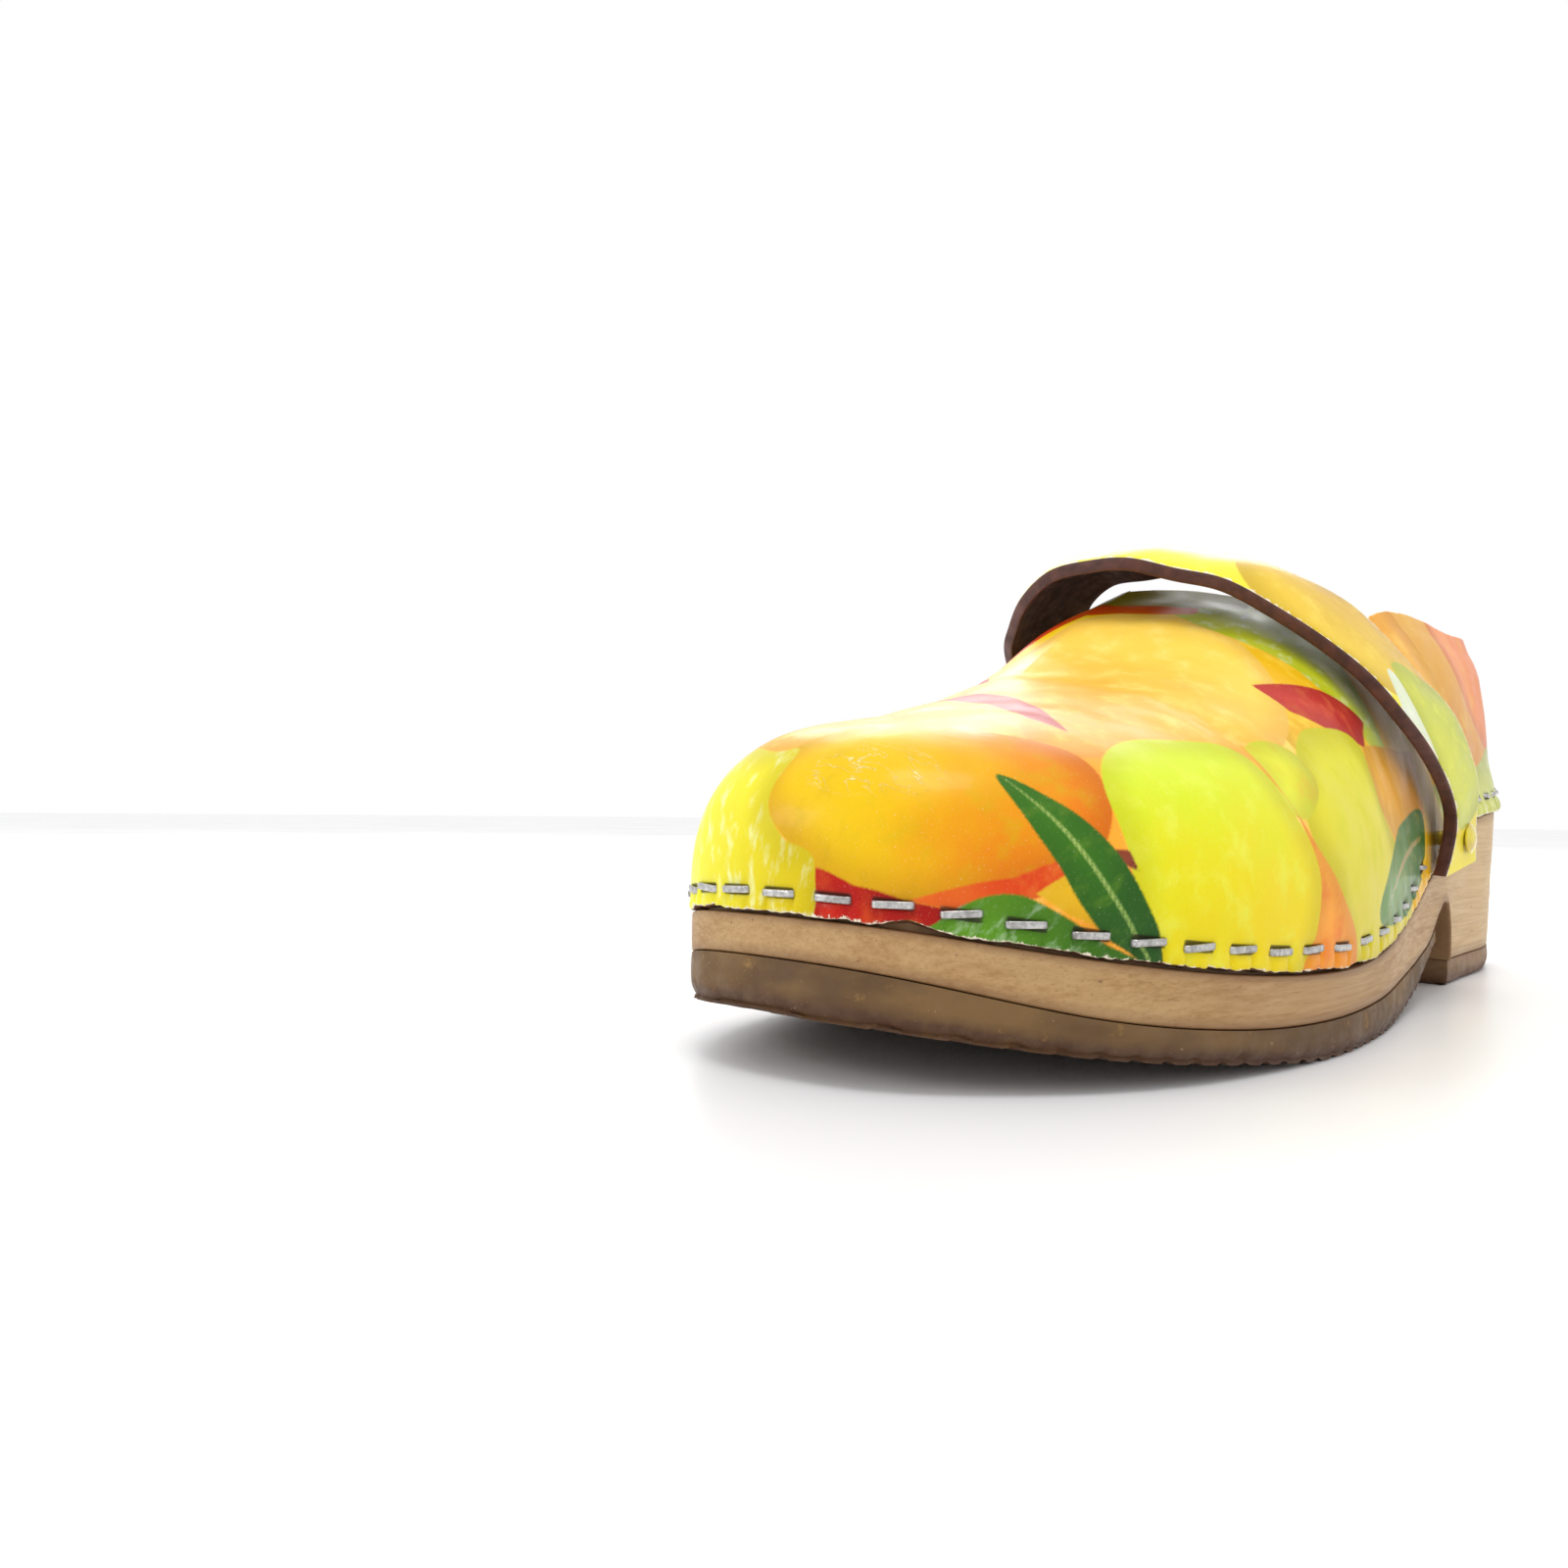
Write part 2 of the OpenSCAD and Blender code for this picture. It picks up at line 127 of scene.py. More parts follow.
def bulge(u, f):
    v = from_toe(u)
    return (0.5 + 1.1 * smooth(1, 3, v)) * np.sin(math.pi * f ** 0.6) * (1 - f) * (1 - smooth(5.4, 6.8, v)) \
        + 1.4 * np.maximum(0, 1 - f / 0.11) ** 2 * smooth(8.2, 9.2, v) - 0.8 * np.sin(math.pi * np.minimum(1, f / 0.5)) * smooth(8.2, 9.2, v) \
        - 3 * smooth(0.3, 0.5, f) * smooth(8.2, 9.2, v)


def inner(u):
    v = from_toe(u)
    return np.where((u < 0) | (u > 11), 1, 0.15) * smooth(3.6, 6.4, v) * (1 - smooth(7.4, 9, v))


def round_heel(u):
    v = from_toe(u)
    return smooth(8, 9.2, v) * (1 - 0.5 * smooth(10, 11, v))


def last(u, f, d=0.0):
    """The leather's outer surface, moved in by d: u round the rim, f from the rim to the ridge."""
    u, f, d = np.broadcast_arrays(np.asarray(u, float), np.asarray(f, float), np.asarray(d, float))
    v = from_toe(u)
    lean = 0.8 * smooth(3, 6.4, v) * (1 - smooth(8.6, 10.4, v))
    p, n, r, z0 = inset(u, d), outn(u), ridge(u), rim_z(outl(u)[..., 1])
    r = r - np.stack([0 * d, 0 * d, d], -1)
    a = np.radians(90 * np.clip(f, 0, 1))
    c = (1 - np.cos(a)) ** (1.4 + 0.8 * inner(u) + 0.45 * round_heel(u))
    s = np.sin(a) ** (1 - 0.26 * inner(u) - 0.16 * round_heel(u))
    e, b = c + (s - c) * lean, bulge(u, f)
    q = np.stack([p[..., 0] + (r[..., 0] - p[..., 0]) * c + b * n[..., 0], p[..., 1] + (r[..., 1] - p[..., 1]) * e + b * n[..., 1],
                  z0 + (r[..., 2] - z0) * s], -1)
    return np.where((f >= 1)[..., None], r, q)


STRAP = knots([(0, [41.3, 27, 26.5, 41.3, 49, 29.5]), (1, [41.6, 30, 30.5, 41.4, 49, 38]), (2, [42.6, 30, 36.5, 42.2, 47.5, 45]),
               (3, [43.8, 24, 42, 42.9, 41.5, 51]), (4, [45, 10, 49.5, 41.5, 31.5, 61.5]), (5, [43.5, -2.5, 57.5, 36.5, 22, 71]),
               (6, [39, -10, 66, 32, 14.5, 78.5]), (7, [32, -16, 73.5, 27, 10, 84.5]), (8, [24, -20, 80, 20.5, 6, 89]),
               (9, [16.5, -25, 85, 13.5, 2, 91.5]), (10, [8, -28, 88, 6, -1, 93]), (11, [-1, -31, 91, -2, -3.5, 94]),
               (12, [-10, -31.5, 91.5, -10.5, -4, 94]), (13, [-20, -30.5, 90.5, -20, -3, 94]), (14, [-29.5, -26.5, 86.5, -28, 0, 91]),
               (15, [-36, -21.5, 81.5, -33.5, 5, 87]), (16, [-40.5, -16.5, 76.5, -37, 10.5, 81.5]), (17, [-43.5, -7, 67.5, -40, 18, 74]),
               (18, [-44, 3, 58.5, -41.5, 27.5, 65.5]), (19, [-43.5, 13, 50, -41.5, 36, 57.5]), (20, [-42, 23.5, 42, -41, 43.5, 50]),
               (21, [-39.6, 30.5, 35, -39.6, 49, 42]), (22, [-39.3, 29, 29.5, -39.3, 49.5, 35]), (23, [-39.3, 27, 26.5, -39.3, 49, 29.5])])


def flat_at(q, b):
    v = spl(STRAP, np.clip(q, 0, 23))
    return v[..., :3] + (v[..., 3:] - v[..., :3]) * np.asarray(b)[..., None]


def strap_n(q, b):
    n = np.cross(flat_at(q, 1 + 0 * b) - flat_at(q, 0 * b), flat_at(np.minimum(23, q + 0.1), b) - flat_at(np.maximum(0, q - 0.1), b))
    return n / np.linalg.norm(n, axis=-1, keepdims=True)


def strap_pt(q, b, d):
    q, b, d = np.broadcast_arrays(np.asarray(q, float), np.asarray(b, float), np.asarray(d, float))
    k = b * (1 - b) * (3.2 * smooth(1, 4, q) * (1 - smooth(19, 22, q)) + 9.5 * smooth(6.5, 9.5, q) * (1 - smooth(13.5, 16.5, q))) - d
    return flat_at(q, b) + strap_n(q, b) * k[..., None]


# ---------------------------------------------------------------- flat pattern coordinates for the printed film
LU = np.linspace(-7.6, 7.6, 153)
LF = np.linspace(0, 1, 101)
_g = last(LU[:, None], LF[None, :])
_len = np.concatenate([np.zeros((153, 1)), np.cumsum(np.linalg.norm(np.diff(_g, axis=1), axis=-1), axis=1)], axis=1)
_len = _len[:, -1:] - _len  # distance from the ridge down the section


def table(u, f):
    a = np.clip((u + 7.6) / 0.1, 0, 151.999)
    b = np.clip(f * 100, 0, 99.999)
    i, j = a.astype(int), b.astype(int)
    s, t = a - i, b - j
    return (_len[i, j] * (1 - s) + _len[i + 1, j] * s) * (1 - t) + (_len[i, j + 1] * (1 - s) + _len[i + 1, j + 1] * s) * t


def vamp_flat(u, f):
    """The vamp laid flat, seen from above: (across, along) in mm."""
    u, f = np.broadcast_arrays(np.asarray(u, float), np.asarray(f, float))
    r, o = ridge(u)[..., :2], outl(u)
    d = o - r
    d = d / np.linalg.norm(d, axis=-1, keepdims=True)
    return r + table(u, f)[..., None] * d


CU = np.linspace(6.6, 15.4, 177)
_c = last(CU, 0.0)
_cs = np.concatenate([[0], np.cumsum(np.linalg.norm(np.diff(_c, axis=0), axis=-1))])
_cs -= np.interp(11, CU, _cs)


def counter_flat(u, f):
    """The counter laid flat: (along the rim from the back seam, height above the rim) in mm."""
    u, f = np.broadcast_arrays(np.asarray(u, float), np.asarray(f, float))
    p = last(u, f)
    return np.stack([np.interp(u, CU, _cs), p[..., 2] - rim_z(outl(u)[..., 1])], -1)


SQ = np.linspace(0, 23, 231)
_s = strap_pt(SQ, 0.5, 0.0)
_ss = np.concatenate([[0], np.cumsum(np.linalg.norm(np.diff(_s, axis=0), axis=-1))])


def strap_flat(q, b):
    """The strap laid flat: (length from the outer nail end, width from the front edge) in mm."""
    q, b = np.broadcast_arrays(np.asarray(q, float), np.asarray(b, float))
    w = np.linalg.norm(flat_at(q, 1 + 0 * b) - flat_at(q, 0 * b), axis=-1)
    return np.stack([np.interp(q, SQ, _ss), b * w], -1)


# ---------------------------------------------------------------- mesh helpers
rng = np.random.default_rng(7)
WAVES = rng.normal(size=(40, 3))
WAVES /= np.linalg.norm(WAVES, axis=1, keepdims=True)
PHASE = rng.uniform(0, 6.28, 40)


def wob(p, size, seed=0):
    """Smooth noise, about -1 to 1, with features of that size in mm."""
    p = np.asarray(p, float)
    out = 0
    for i in range(9):
        k = (seed * 7 + i) % 40
        out = out + np.sin(p @ WAVES[k][: p.shape[-1]] * 6.28 / (size * (0.7 + 0.09 * i)) + PHASE[k] + seed)
    return out / 4.2


def grid(n, m, o=0, flip=False):
    i, j = np.meshgrid(np.arange(n - 1), np.arange(m - 1), indexing="ij")
    a = (o + i * m + j).ravel()
    q = np.stack([a, a + m, a + m + 1, a + 1] if not flip else [a, a + 1, a + m + 1, a + m], -1)
    return q


def strip(p, q, flip=False):
    p, q = np.asarray(p), np.asarray(q)
    r = np.stack([p[:-1], p[1:], q[1:], q[:-1]], -1)
    return r[:, ::-1] if flip else r


def mesh_of(name, verts, faces, mats, body, stands_for=(), face_mat=None, attrs=None, sharp=38, weld=0.0):
    """verts in mm; faces (k, 4) quads or a list of index tuples."""
    me = bpy.data.meshes.new(name)
    me.from_pydata((np.asarray(verts) / 1000).tolist(), [], [tuple(int(x) for x in f) for f in faces])
    if face_mat is not None:
        me.polygons.foreach_set("material_index", np.asarray(face_mat, np.int32))
    for key, val in (attrs or {}).items():
        val = np.asarray(val, np.float32)
        kind = "FLOAT_VECTOR" if val.ndim == 2 else "FLOAT"
        a = me.attributes.new(key, kind, "POINT")
        a.data.foreach_set("vector" if val.ndim == 2 else "value", val.ravel())
    for m in mats:
        me.materials.append(m)
    if weld:
        import bmesh
        bm = bmesh.new()
        bm.from_mesh(me)
        bmesh.ops.remove_doubles(bm, verts=bm.verts, dist=weld / 1000)
        bmesh.ops.dissolve_degenerate(bm, dist=1e-7, edges=bm.edges)
        bmesh.ops.recalc_face_normals(bm, faces=bm.faces)
        bm.to_mesh(me)
        bm.free()
    me.validate()
    me.shade_smooth()
    me.set_sharp_from_angle(angle=math.radians(sharp))
    me.update()
    ob = bpy.data.objects.new(name, me)
    bpy.context.scene.collection.objects.link(ob)
    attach(ob, body)
    if stands_for:
        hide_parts(*stands_for)
    return ob


# ---------------------------------------------------------------- node helpers
def lin(c):
    """Display colour 0 to 255 to a linear RGBA."""
    return tuple(((x / 255) / 12.92 if x / 255 <= 0.04045 else ((x / 255 + 0.055) / 1.055) ** 2.4) for x in c) + (1.0,)


class Tree:
    def __init__(self, name):
        self.mat = bpy.data.materials.new(name)
        self.mat.use_nodes = True
        self.t = self.mat.node_tree
        self.t.nodes.clear()
        self.out = self.t.nodes.new("ShaderNodeOutputMaterial")
        self.sh = self.t.nodes.new("ShaderNodeBsdfPrincipled")
        self.link(self.sh.outputs[0], self.out.inputs[0])

    def link(self, a, b):
        self.t.links.new(a, b)

    def put(self, node, key, val):
        s = node.inputs[key]
        if hasattr(val, "is_linked") or isinstance(val, bpy.types.NodeSocket):
            self.link(val, s)
        else:
            s.default_value = val

    def coords(self):
        return self.t.nodes.new("ShaderNodeTexCoord").outputs["Object"]

    def attr(self, name, out="Fac"):
        n = self.t.nodes.new("ShaderNodeAttribute")
        n.attribute_name = name
        return n.outputs[out]

    def scaled(self, vec, sx, sy, sz, rot=(0, 0, 0)):
        n = self.t.nodes.new("ShaderNodeMapping")
        self.put(n, "Vector", vec)
        n.inputs["Scale"].default_value = (sx, sy, sz)
        n.inputs["Rotation"].default_value = rot
        return n.outputs[0]

    def noise(self, vec, scale, detail=3, rough=0.55, dist=0.0, out=0):
        n = self.t.nodes.new("ShaderNodeTexNoise")
        self.put(n, "Vector", vec)
        n.inputs["Scale"].default_value = scale
        n.inputs["Detail"].default_value = detail
        n.inputs["Roughness"].default_value = rough
        n.inputs["Distortion"].default_value = dist
        return n.outputs[out]

    def voro(self, vec, scale, feature="F1", rand=1.0):
        n = self.t.nodes.new("ShaderNodeTexVoronoi")
        n.feature = feature
        self.put(n, "Vector", vec)
        n.inputs["Scale"].default_value = scale
        n.inputs["Randomness"].default_value = rand
        return n.outputs["Distance"]

    def rng(self, v, a, b, c=0.0, d=1.0, soft=True):
        n = self.t.nodes.new("ShaderNodeMapRange")
        n.interpolation_type = "SMOOTHSTEP" if soft else "LINEAR"
        self.put(n, "Value", v)
        n.inputs["From Min"].default_value = a
        n.inputs["From Max"].default_value = b
        n.inputs["To Min"].default_value = c
        n.inputs["To Max"].default_value = d
        return n.outputs[0]

    def math(self, op, a, b=0.0):
        n = self.t.nodes.new("ShaderNodeMath")
        n.operation = op
        self.put(n, 0, a)
        self.put(n, 1, b)
        return n.outputs[0]

    def dot(self, vec, d):
        n = self.t.nodes.new("ShaderNodeVectorMath")
        n.operation = "DOT_PRODUCT"
        self.put(n, 0, vec)
        n.inputs[1].default_value = d
        return n.outputs["Value"]

    def mix(self, fac, a, b, mode="MIX"):
        n = self.t.nodes.new("ShaderNodeMix")
        n.data_type = "RGBA"
        n.blend_type = mode
        self.put(n, 0, fac)
        self.put(n, 6, a)
        self.put(n, 7, b)
        return n.outputs[2]

    def bump(self, height, strength, dist, normal=None):
        n = self.t.nodes.new("ShaderNodeBump")
        n.inputs["Strength"].default_value = strength
        n.inputs["Distance"].default_value = dist
        self.put(n, "Height", height)
        if normal is not None:
            self.link(normal, n.inputs["Normal"])
        return n.outputs[0]

    def set(self, **kw):
        names = {"color": "Base Color", "rough": "Roughness", "normal": "Normal", "coat": "Coat Weight", "coat_rough": "Coat Roughness", "metal": "Metallic",
                 "spec": "Specular IOR Level", "coat_normal": "Coat Normal", "sheen": "Sheen Weight", "ior": "IOR", "sub": "Subsurface Weight"}
        for k, v in kw.items():
            self.put(self.sh, names[k], v)
        return self.mat


# ---------------------------------------------------------------- printed film: fruit shapes as signed distances on the flat pattern
def curve(pts, closed=True, steps=8):
    p = np.array(pts, float)
    out = []
    for i in range(len(p)):
        a, b, c, d = p[i - 1], p[i], p[(i + 1) % len(p)], p[(i + 2) % len(p)]
        for k in range(steps):
            t = k / steps
            out.append(0.5 * (2 * b + (c - a) * t + (2 * a - 5 * b + 4 * c - d) * t * t + (3 * b - a - 3 * c + d) * t ** 3))
    return np.array(out)


def oval(cx, cy, rx, ry, turn=0.0, pinch=0.0):
    t = np.linspace(0, 2 * math.pi, 40, endpoint=False)
    x, y = rx * np.cos(t) * (1 - pinch * np.sin(t)), ry * np.sin(t)
    c, s = math.cos(math.radians(turn)), math.sin(math.radians(turn))
    return np.stack([cx + x * c - y * s, cy + x * s + y * c], -1)


def blade(x0, y0, x1, y1, w, bow=0.0):
    """A leaf from its stalk to its tip."""
    a, b = np.array([x0, y0], float), np.array([x1, y1], float)
    d = b - a
    n = np.array([-d[1], d[0]]) / np.linalg.norm(d)
    t = np.linspace(0, 1, 16)
    mid = a + t[:, None] * d + (bow * np.sin(math.pi * t))[:, None] * n
    half = (w / 2 * np.sin(math.pi * t ** 0.8) ** 0.9)[:, None] * n
    return np.concatenate([mid + half, (mid - half)[::-1][1:-1]])


def dist_to(poly, q):
    """Signed distance of points q to a closed outline, negative inside."""
    a, b = poly, np.roll(poly, -1, axis=0)
    best = np.full(len(q), 1e9)
    ins = np.zeros(len(q), bool)
    for s, e in zip(a, b):
        d = e - s
        L = d @ d
        if L < 1e-12:
            continue
        t = np.clip(((q - s) @ d) / L, 0, 1)
        best = np.minimum(best, np.linalg.norm(q - s - t[:, None] * d, axis=1))
        cross = (s[1] > q[:, 1]) != (e[1] > q[:, 1])
        if d[1] != 0:
            ins ^= cross & (q[:, 0] < s[0] + (q[:, 1] - s[1]) * d[0] / d[1])
    return np.where(ins, -best, best)


def printed(name, base, shapes):
    """A glossy printed film. base and each shape: (light, dark, mottle) colours, gradient direction and its two ends in mm."""
    T = Tree(name)
    flat = T.attr("flat", "Vector")
    big = T.noise(flat, 0.07, 3, 0.5)
    mid = T.noise(flat, 0.16, 4, 0.6)
    peel = T.voro(flat, 1.3)
    fine = T.noise(flat, 2.2, 2, 0.5)
    streak = T.noise(T.scaled(flat, 0.32, 0.16, 1.0, (0, 0, 0.5)), 1.0, 4, 0.6)

    def fill(spec):
        (c0, c1, c2), (gx, gy), (g0, g1) = spec[:3]
        d = T.dot(flat, (gx, gy, 0))
        d = T.math("ADD", d, T.rng(big, 0.3, 0.7, -5, 5, False))
        col = T.mix(T.rng(d, g0, g1), lin(c0), lin(c1))
        kind = spec[3] if len(spec) > 3 else 0
        col = T.mix(T.rng(mid, 0.46, 0.74, 0, 0.5) if kind == 0 else T.rng(streak, 0.50, 0.70, 0, 0.62), col, lin(c2))
        return col

    acc = fill(base)
    for key, spec in shapes:
        s = T.attr(key)
        wav = T.math("ADD", s, T.rng(fine, 0.2, 0.8, -0.12, 0.12, False))
        col = fill(spec)
        # a fruit darkens a little towards its outline, as a round thing does
        col = T.mix(T.rng(s, -7, -0.3, 0, 0.34), col, lin([max(0, x * 0.72) for x in spec[0][1]]))
        acc = T.mix(T.rng(wav, -0.28, 0.28, 1, 0), acc, col)
    # fine specks of the peel
    acc = T.mix(T.rng(peel, 0.0, 0.25, 0.10, 0), acc, lin((120, 70, 20)))
    acc = T.mix(T.rng(fine, 0.62, 0.8, 0, 0.16), acc, lin((255, 250, 225)))
    return T, acc, flat, (big, mid, fine)


def finish_print(T, acc, flat, noises, crease=None):
    big, mid, fine = noises
    edge = T.attr("edge")  # mm from the cut edge
    worn = T.math("ADD", edge, T.rng(T.noise(flat, 0.5, 5, 0.7), 0.3, 0.7, -0.65, 0.65, False))
    acc = T.mix(T.rng(worn, 0.15, 0.5, 1, 0), acc, lin((236, 228, 205)))
    # punched rim of each staple, darkened round it with painted shade where the crown sits on the leather
    hole_and_shade = T.attr("hole_and_shade")
    acc = T.mix(T.rng(hole_and_shade, 0.02, 0.30, 0.85, 0), acc, lin((44, 34, 26)))
    h = T.noise(flat, 1.1, 4, 0.55)
    h2 = T.noise(flat, 0.16, 2, 0.5)
    n = T.bump(h2, 0.10, 0.0010)
    n = T.bump(h, 0.10, 0.00012, n)
    if crease is not None:
        # crinkled film over the toe, with pale cracks
        wr = T.noise(T.scaled(flat, 0.16, 0.5, 1, (0, 0, 0.45)), 1.0, 3, 0.55, 0.5)
        line = T.rng(T.math("ABSOLUTE", T.math("SUBTRACT", wr, 0.5)), 0.0, 0.022, 1, 0)
        where = T.rng(T.attr(crease), -4, 1, 1, 0)
        k = T.math("MULTIPLY", line, where)
        acc = T.mix(T.math("MULTIPLY", k, 0.75), acc, lin((252, 238, 170)))
        n = T.bump(k, 0.5, 0.0006, n)
    return T.set(color=acc, rough=T.rng(mid, 0.3, 0.7, 0.30, 0.42), normal=n, coat=0.08, coat_rough=0.12, coat_normal=T.bump(h2, 0.10, 0.0008, T.bump(h, 0.04, 0.00010)), spec=0.14)


# ---------------------------------------------------------------- plain materials
def wood_mat():
    T = Tree("wood_oiled")
    o = T.coords()
    warp = T.noise(T.scaled(o, 40, 6, 40), 1.0, 2, 0.5, out=1)
    n = T.t.nodes.new("ShaderNodeVectorMath")
    n.operation = "MULTIPLY_ADD"
    T.put(n, 0, warp)
    n.inputs[1].default_value = (0.004, 0.004, 0.004)
    T.put(n, 2, o)
    w = n.outputs[0]
    streak = T.noise(T.scaled(w, 900, 22, 1500), 1.0, 5, 0.62)
    fine = T.noise(T.scaled(w, 2600, 60, 4200), 1.0, 3, 0.6)
    band = T.noise(T.scaled(w, 160, 5, 260), 1.0, 3, 0.55)
    blot = T.noise(T.scaled(o, 30, 18, 30), 1.0, 4, 0.6)
    col = T.mix(T.rng(streak, 0.30, 0.70), lin((192, 155, 104)), lin((162, 123, 74)))
    col = T.mix(T.rng(band, 0.35, 0.68, 0, 0.55), col, lin((204, 171, 120)))
    col = T.mix(T.rng(fine, 0.54, 0.72, 0, 0.6), col, lin((128, 90, 50)))
    # the wood is darker towards the front and paler towards the heel end
    y = T.dot(o, (0, 1, 0))
    col = T.mix(T.rng(y, -0.06, 0.10, 0.34, 0.0), col, lin((150, 110, 62)))
    col = T.mix(T.rng(y, 0.02, 0.11, 0.0, 0.35), col, lin((226, 202, 156)))
    col = T.mix(T.rng(blot, 0.54, 0.75, 0, 0.30), col, lin((142, 101, 58)))
    # small dark flecks and knots
    fleck = T.voro(T.scaled(o, 260, 120, 260), 1.0)
    col = T.mix(T.rng(fleck, 0.03, 0.09, 0.55, 0), col, lin((92, 60, 38)))
    # painted shade: darker in a band just under the leather's rim, where the rim shades the wood, and darker towards
    # the bottom edge
    rim_shade_and_low_band = T.attr("rim_shade_and_low_band")
    col = T.mix(T.math("MULTIPLY", rim_shade_and_low_band, T.rng(blot, 0.3, 0.6, 0.5, 1.0)), col, lin((116, 78, 48)))
    nrm = T.bump(streak, 0.22, 0.0003)
    nrm = T.bump(fine, 0.25, 0.00012, nrm)
    return T.set(color=col, rough=T.rng(streak, 0.3, 0.7, 0.50, 0.66), normal=nrm, spec=0.42, coat=0.12, coat_rough=0.3)


def rubber_mat(name, light, dark, low):
    T = Tree(name)
    o = T.coords()
    a = T.noise(o, 260, 5, 0.65)
    b = T.noise(T.scaled(o, 60, 25, 120), 1.0, 3, 0.6)
    c = T.noise(o, 1900, 2, 0.5)
    col = T.mix(T.rng(b, 0.35, 0.65), lin(light), lin(dark))
    foot = T.attr("foot")  # 1 near the ground edge
    # painted shade: the rubber darker on its lower part that turns down towards the ground
    col = T.mix(T.math("MULTIPLY", foot, T.rng(a, 0.3, 0.6, 0.6, 1.0)), col, lin(low))
    col = T.mix(T.rng(a, 0.60, 0.78, 0, 0.5), col, lin([min(255, x * 1.45 + 22) for x in light]))
    scuff = T.noise(T.scaled(o, 900, 120, 600), 1.0, 3, 0.7)
    col = T.mix(T.rng(scuff, 0.66, 0.76, 0, 0.5), col, lin((206, 176, 132)))
    n = T.bump(a, 0.4, 0.0005)
    n = T.bump(c, 0.3, 0.00012, n)
    return T.set(color=col, rough=T.rng(a, 0.3, 0.7, 0.48, 0.72), normal=n, spec=0.4)


def hide_mat(name, c0, c1, rough=(0.6, 0.8), fibre=1.0, spec=0.35):
    T = Tree(name)
    o = T.coords()
    a = T.noise(o, 420, 5, 0.65)
    b = T.noise(T.scaled(o, 2600, 2600, 500), 1.0, 3, 0.7)
    c = T.voro(o, 1500)
    col = T.mix(T.rng(a, 0.32, 0.68), lin(c0), lin(c1))
    col = T.mix(T.rng(b, 0.60, 0.80, 0, 0.5 * fibre), col, lin([min(255, x * 1.5 + 25) for x in c0]))
    col = T.mix(T.rng(c, 0.0, 0.22, 0.35, 0), col, lin([x * 0.55 for x in c1]))
    n = T.bump(a, 0.5, 0.0005)
    n = T.bump(b, 0.45, 0.0002, n)
    return T.set(color=col, rough=T.rng(a, 0.3, 0.7, *rough), normal=n, spec=spec)


def edge_paint_mat():
    T = Tree("strap_edge_paint")
    o = T.coords()
    a = T.noise(o, 350, 4, 0.6)
    b = T.noise(o, 90, 3, 0.55)
    c = T.noise(o, 2400, 2, 0.5)
    col = T.mix(T.rng(a, 0.3, 0.7), lin((86, 45, 34)), lin((62, 31, 25)))
    col = T.mix(T.rng(b, 0.5, 0.75, 0, 0.5), col, lin((106, 62, 48)))
    rim = T.attr("edge")
    col = T.mix(T.rng(rim, 0.0, 0.35, 0.45, 0), col, lin((150, 118, 96)))
    n = T.bump(a, 0.3, 0.0004)
    n = T.bump(c, 0.25, 0.0001, n)
    return T.set(color=col, rough=T.rng(a, 0.3, 0.7, 0.42, 0.58), normal=n, spec=0.45)


def steel_mat():
    T = Tree("staple_zinc")
    o = T.coords()
    a = T.noise(o, 1500, 3, 0.6)
    b = T.noise(T.scaled(o, 3000, 400, 3000), 1.0, 3, 0.6)
    c = T.noise(o, 260, 3, 0.6)
    col = T.mix(T.rng(a, 0.3, 0.7), lin((200, 199, 197)), lin((160, 158, 157)))
    col = T.mix(T.rng(c, 0.48, 0.74, 0, 0.6), col, lin((108, 100, 94)))
    n = T.bump(b, 0.35, 0.0001)
    return T.set(color=col, rough=T.rng(a, 0.3, 0.7, 0.28, 0.46), metal=0.85, normal=n)


def enamel_mat():
    T = Tree("nail_enamel")
    o = T.coords()
    a = T.noise(o, 700, 4, 0.6)
    b = T.noise(o, 160, 3, 0.5)
    col = T.mix(T.rng(b, 0.35, 0.65), lin((222, 206, 44)), lin((196, 160, 30)))
    col = T.mix(T.rng(a, 0.62, 0.8, 0, 0.5), col, lin((244, 236, 170)))
    return T.set(color=col, rough=T.rng(a, 0.3, 0.7, 0.2, 0.34), normal=T.bump(a, 0.15, 0.0002), coat=0.8, coat_rough=0.06)


wood = wood_mat()
tread = rubber_mat("tread_rubber_tan", (116, 86, 46), (90, 64, 34), (76, 47, 27))
lift_rubber = rubber_mat("heel_rubber_brown", (140, 110, 78), (112, 84, 56), (92, 58, 36))
cut_edge = hide_mat("leather_cut_edge", (132, 92, 60), (92, 58, 38))
lining = hide_mat("leather_lining", (150, 108, 74), (116, 78, 50), (0.55, 0.72), 0.6)
strap_edge = edge_paint_mat()
strap_back = hide_mat("strap_underside", (84, 50, 38), (58, 33, 26), (0.6, 0.8), 0.8)
steel = steel_mat()


# ---------------------------------------------------------------- the fruit print, in mm on each flat pattern
# colours: (light, dark, mottle)
LEMON = ((242, 240, 60), (214, 190, 6), (240, 248, 190))
MANGO = ((228, 186, 8), (222, 112, 6), (200, 168, 2))
RED = ((196, 24, 8), (164, 12, 4), (226, 90, 26))
GREEN = ((98, 154, 26), (60, 112, 18), (196, 220, 180))
LEAF = ((62, 120, 22), (34, 84, 22), (96, 138, 34))
LEAFD = ((104, 148, 56), (66, 108, 40), (150, 156, 60))
VEIN = ((182, 204, 110), (150, 184, 90), (200, 220, 140))
APPLE = ((206, 226, 36), (232, 206, 0), (226, 234, 90))
APPLE2 = ((216, 210, 14), (212, 194, 6), (200, 200, 20))
PEACH = ((248, 206, 84), (246, 162, 44), (252, 226, 130))
ORANGE = ((244, 176, 44), (232, 134, 14), (228, 100, 16))
CRIMSON = ((206, 56, 40), (176, 30, 26), (230, 120, 64))
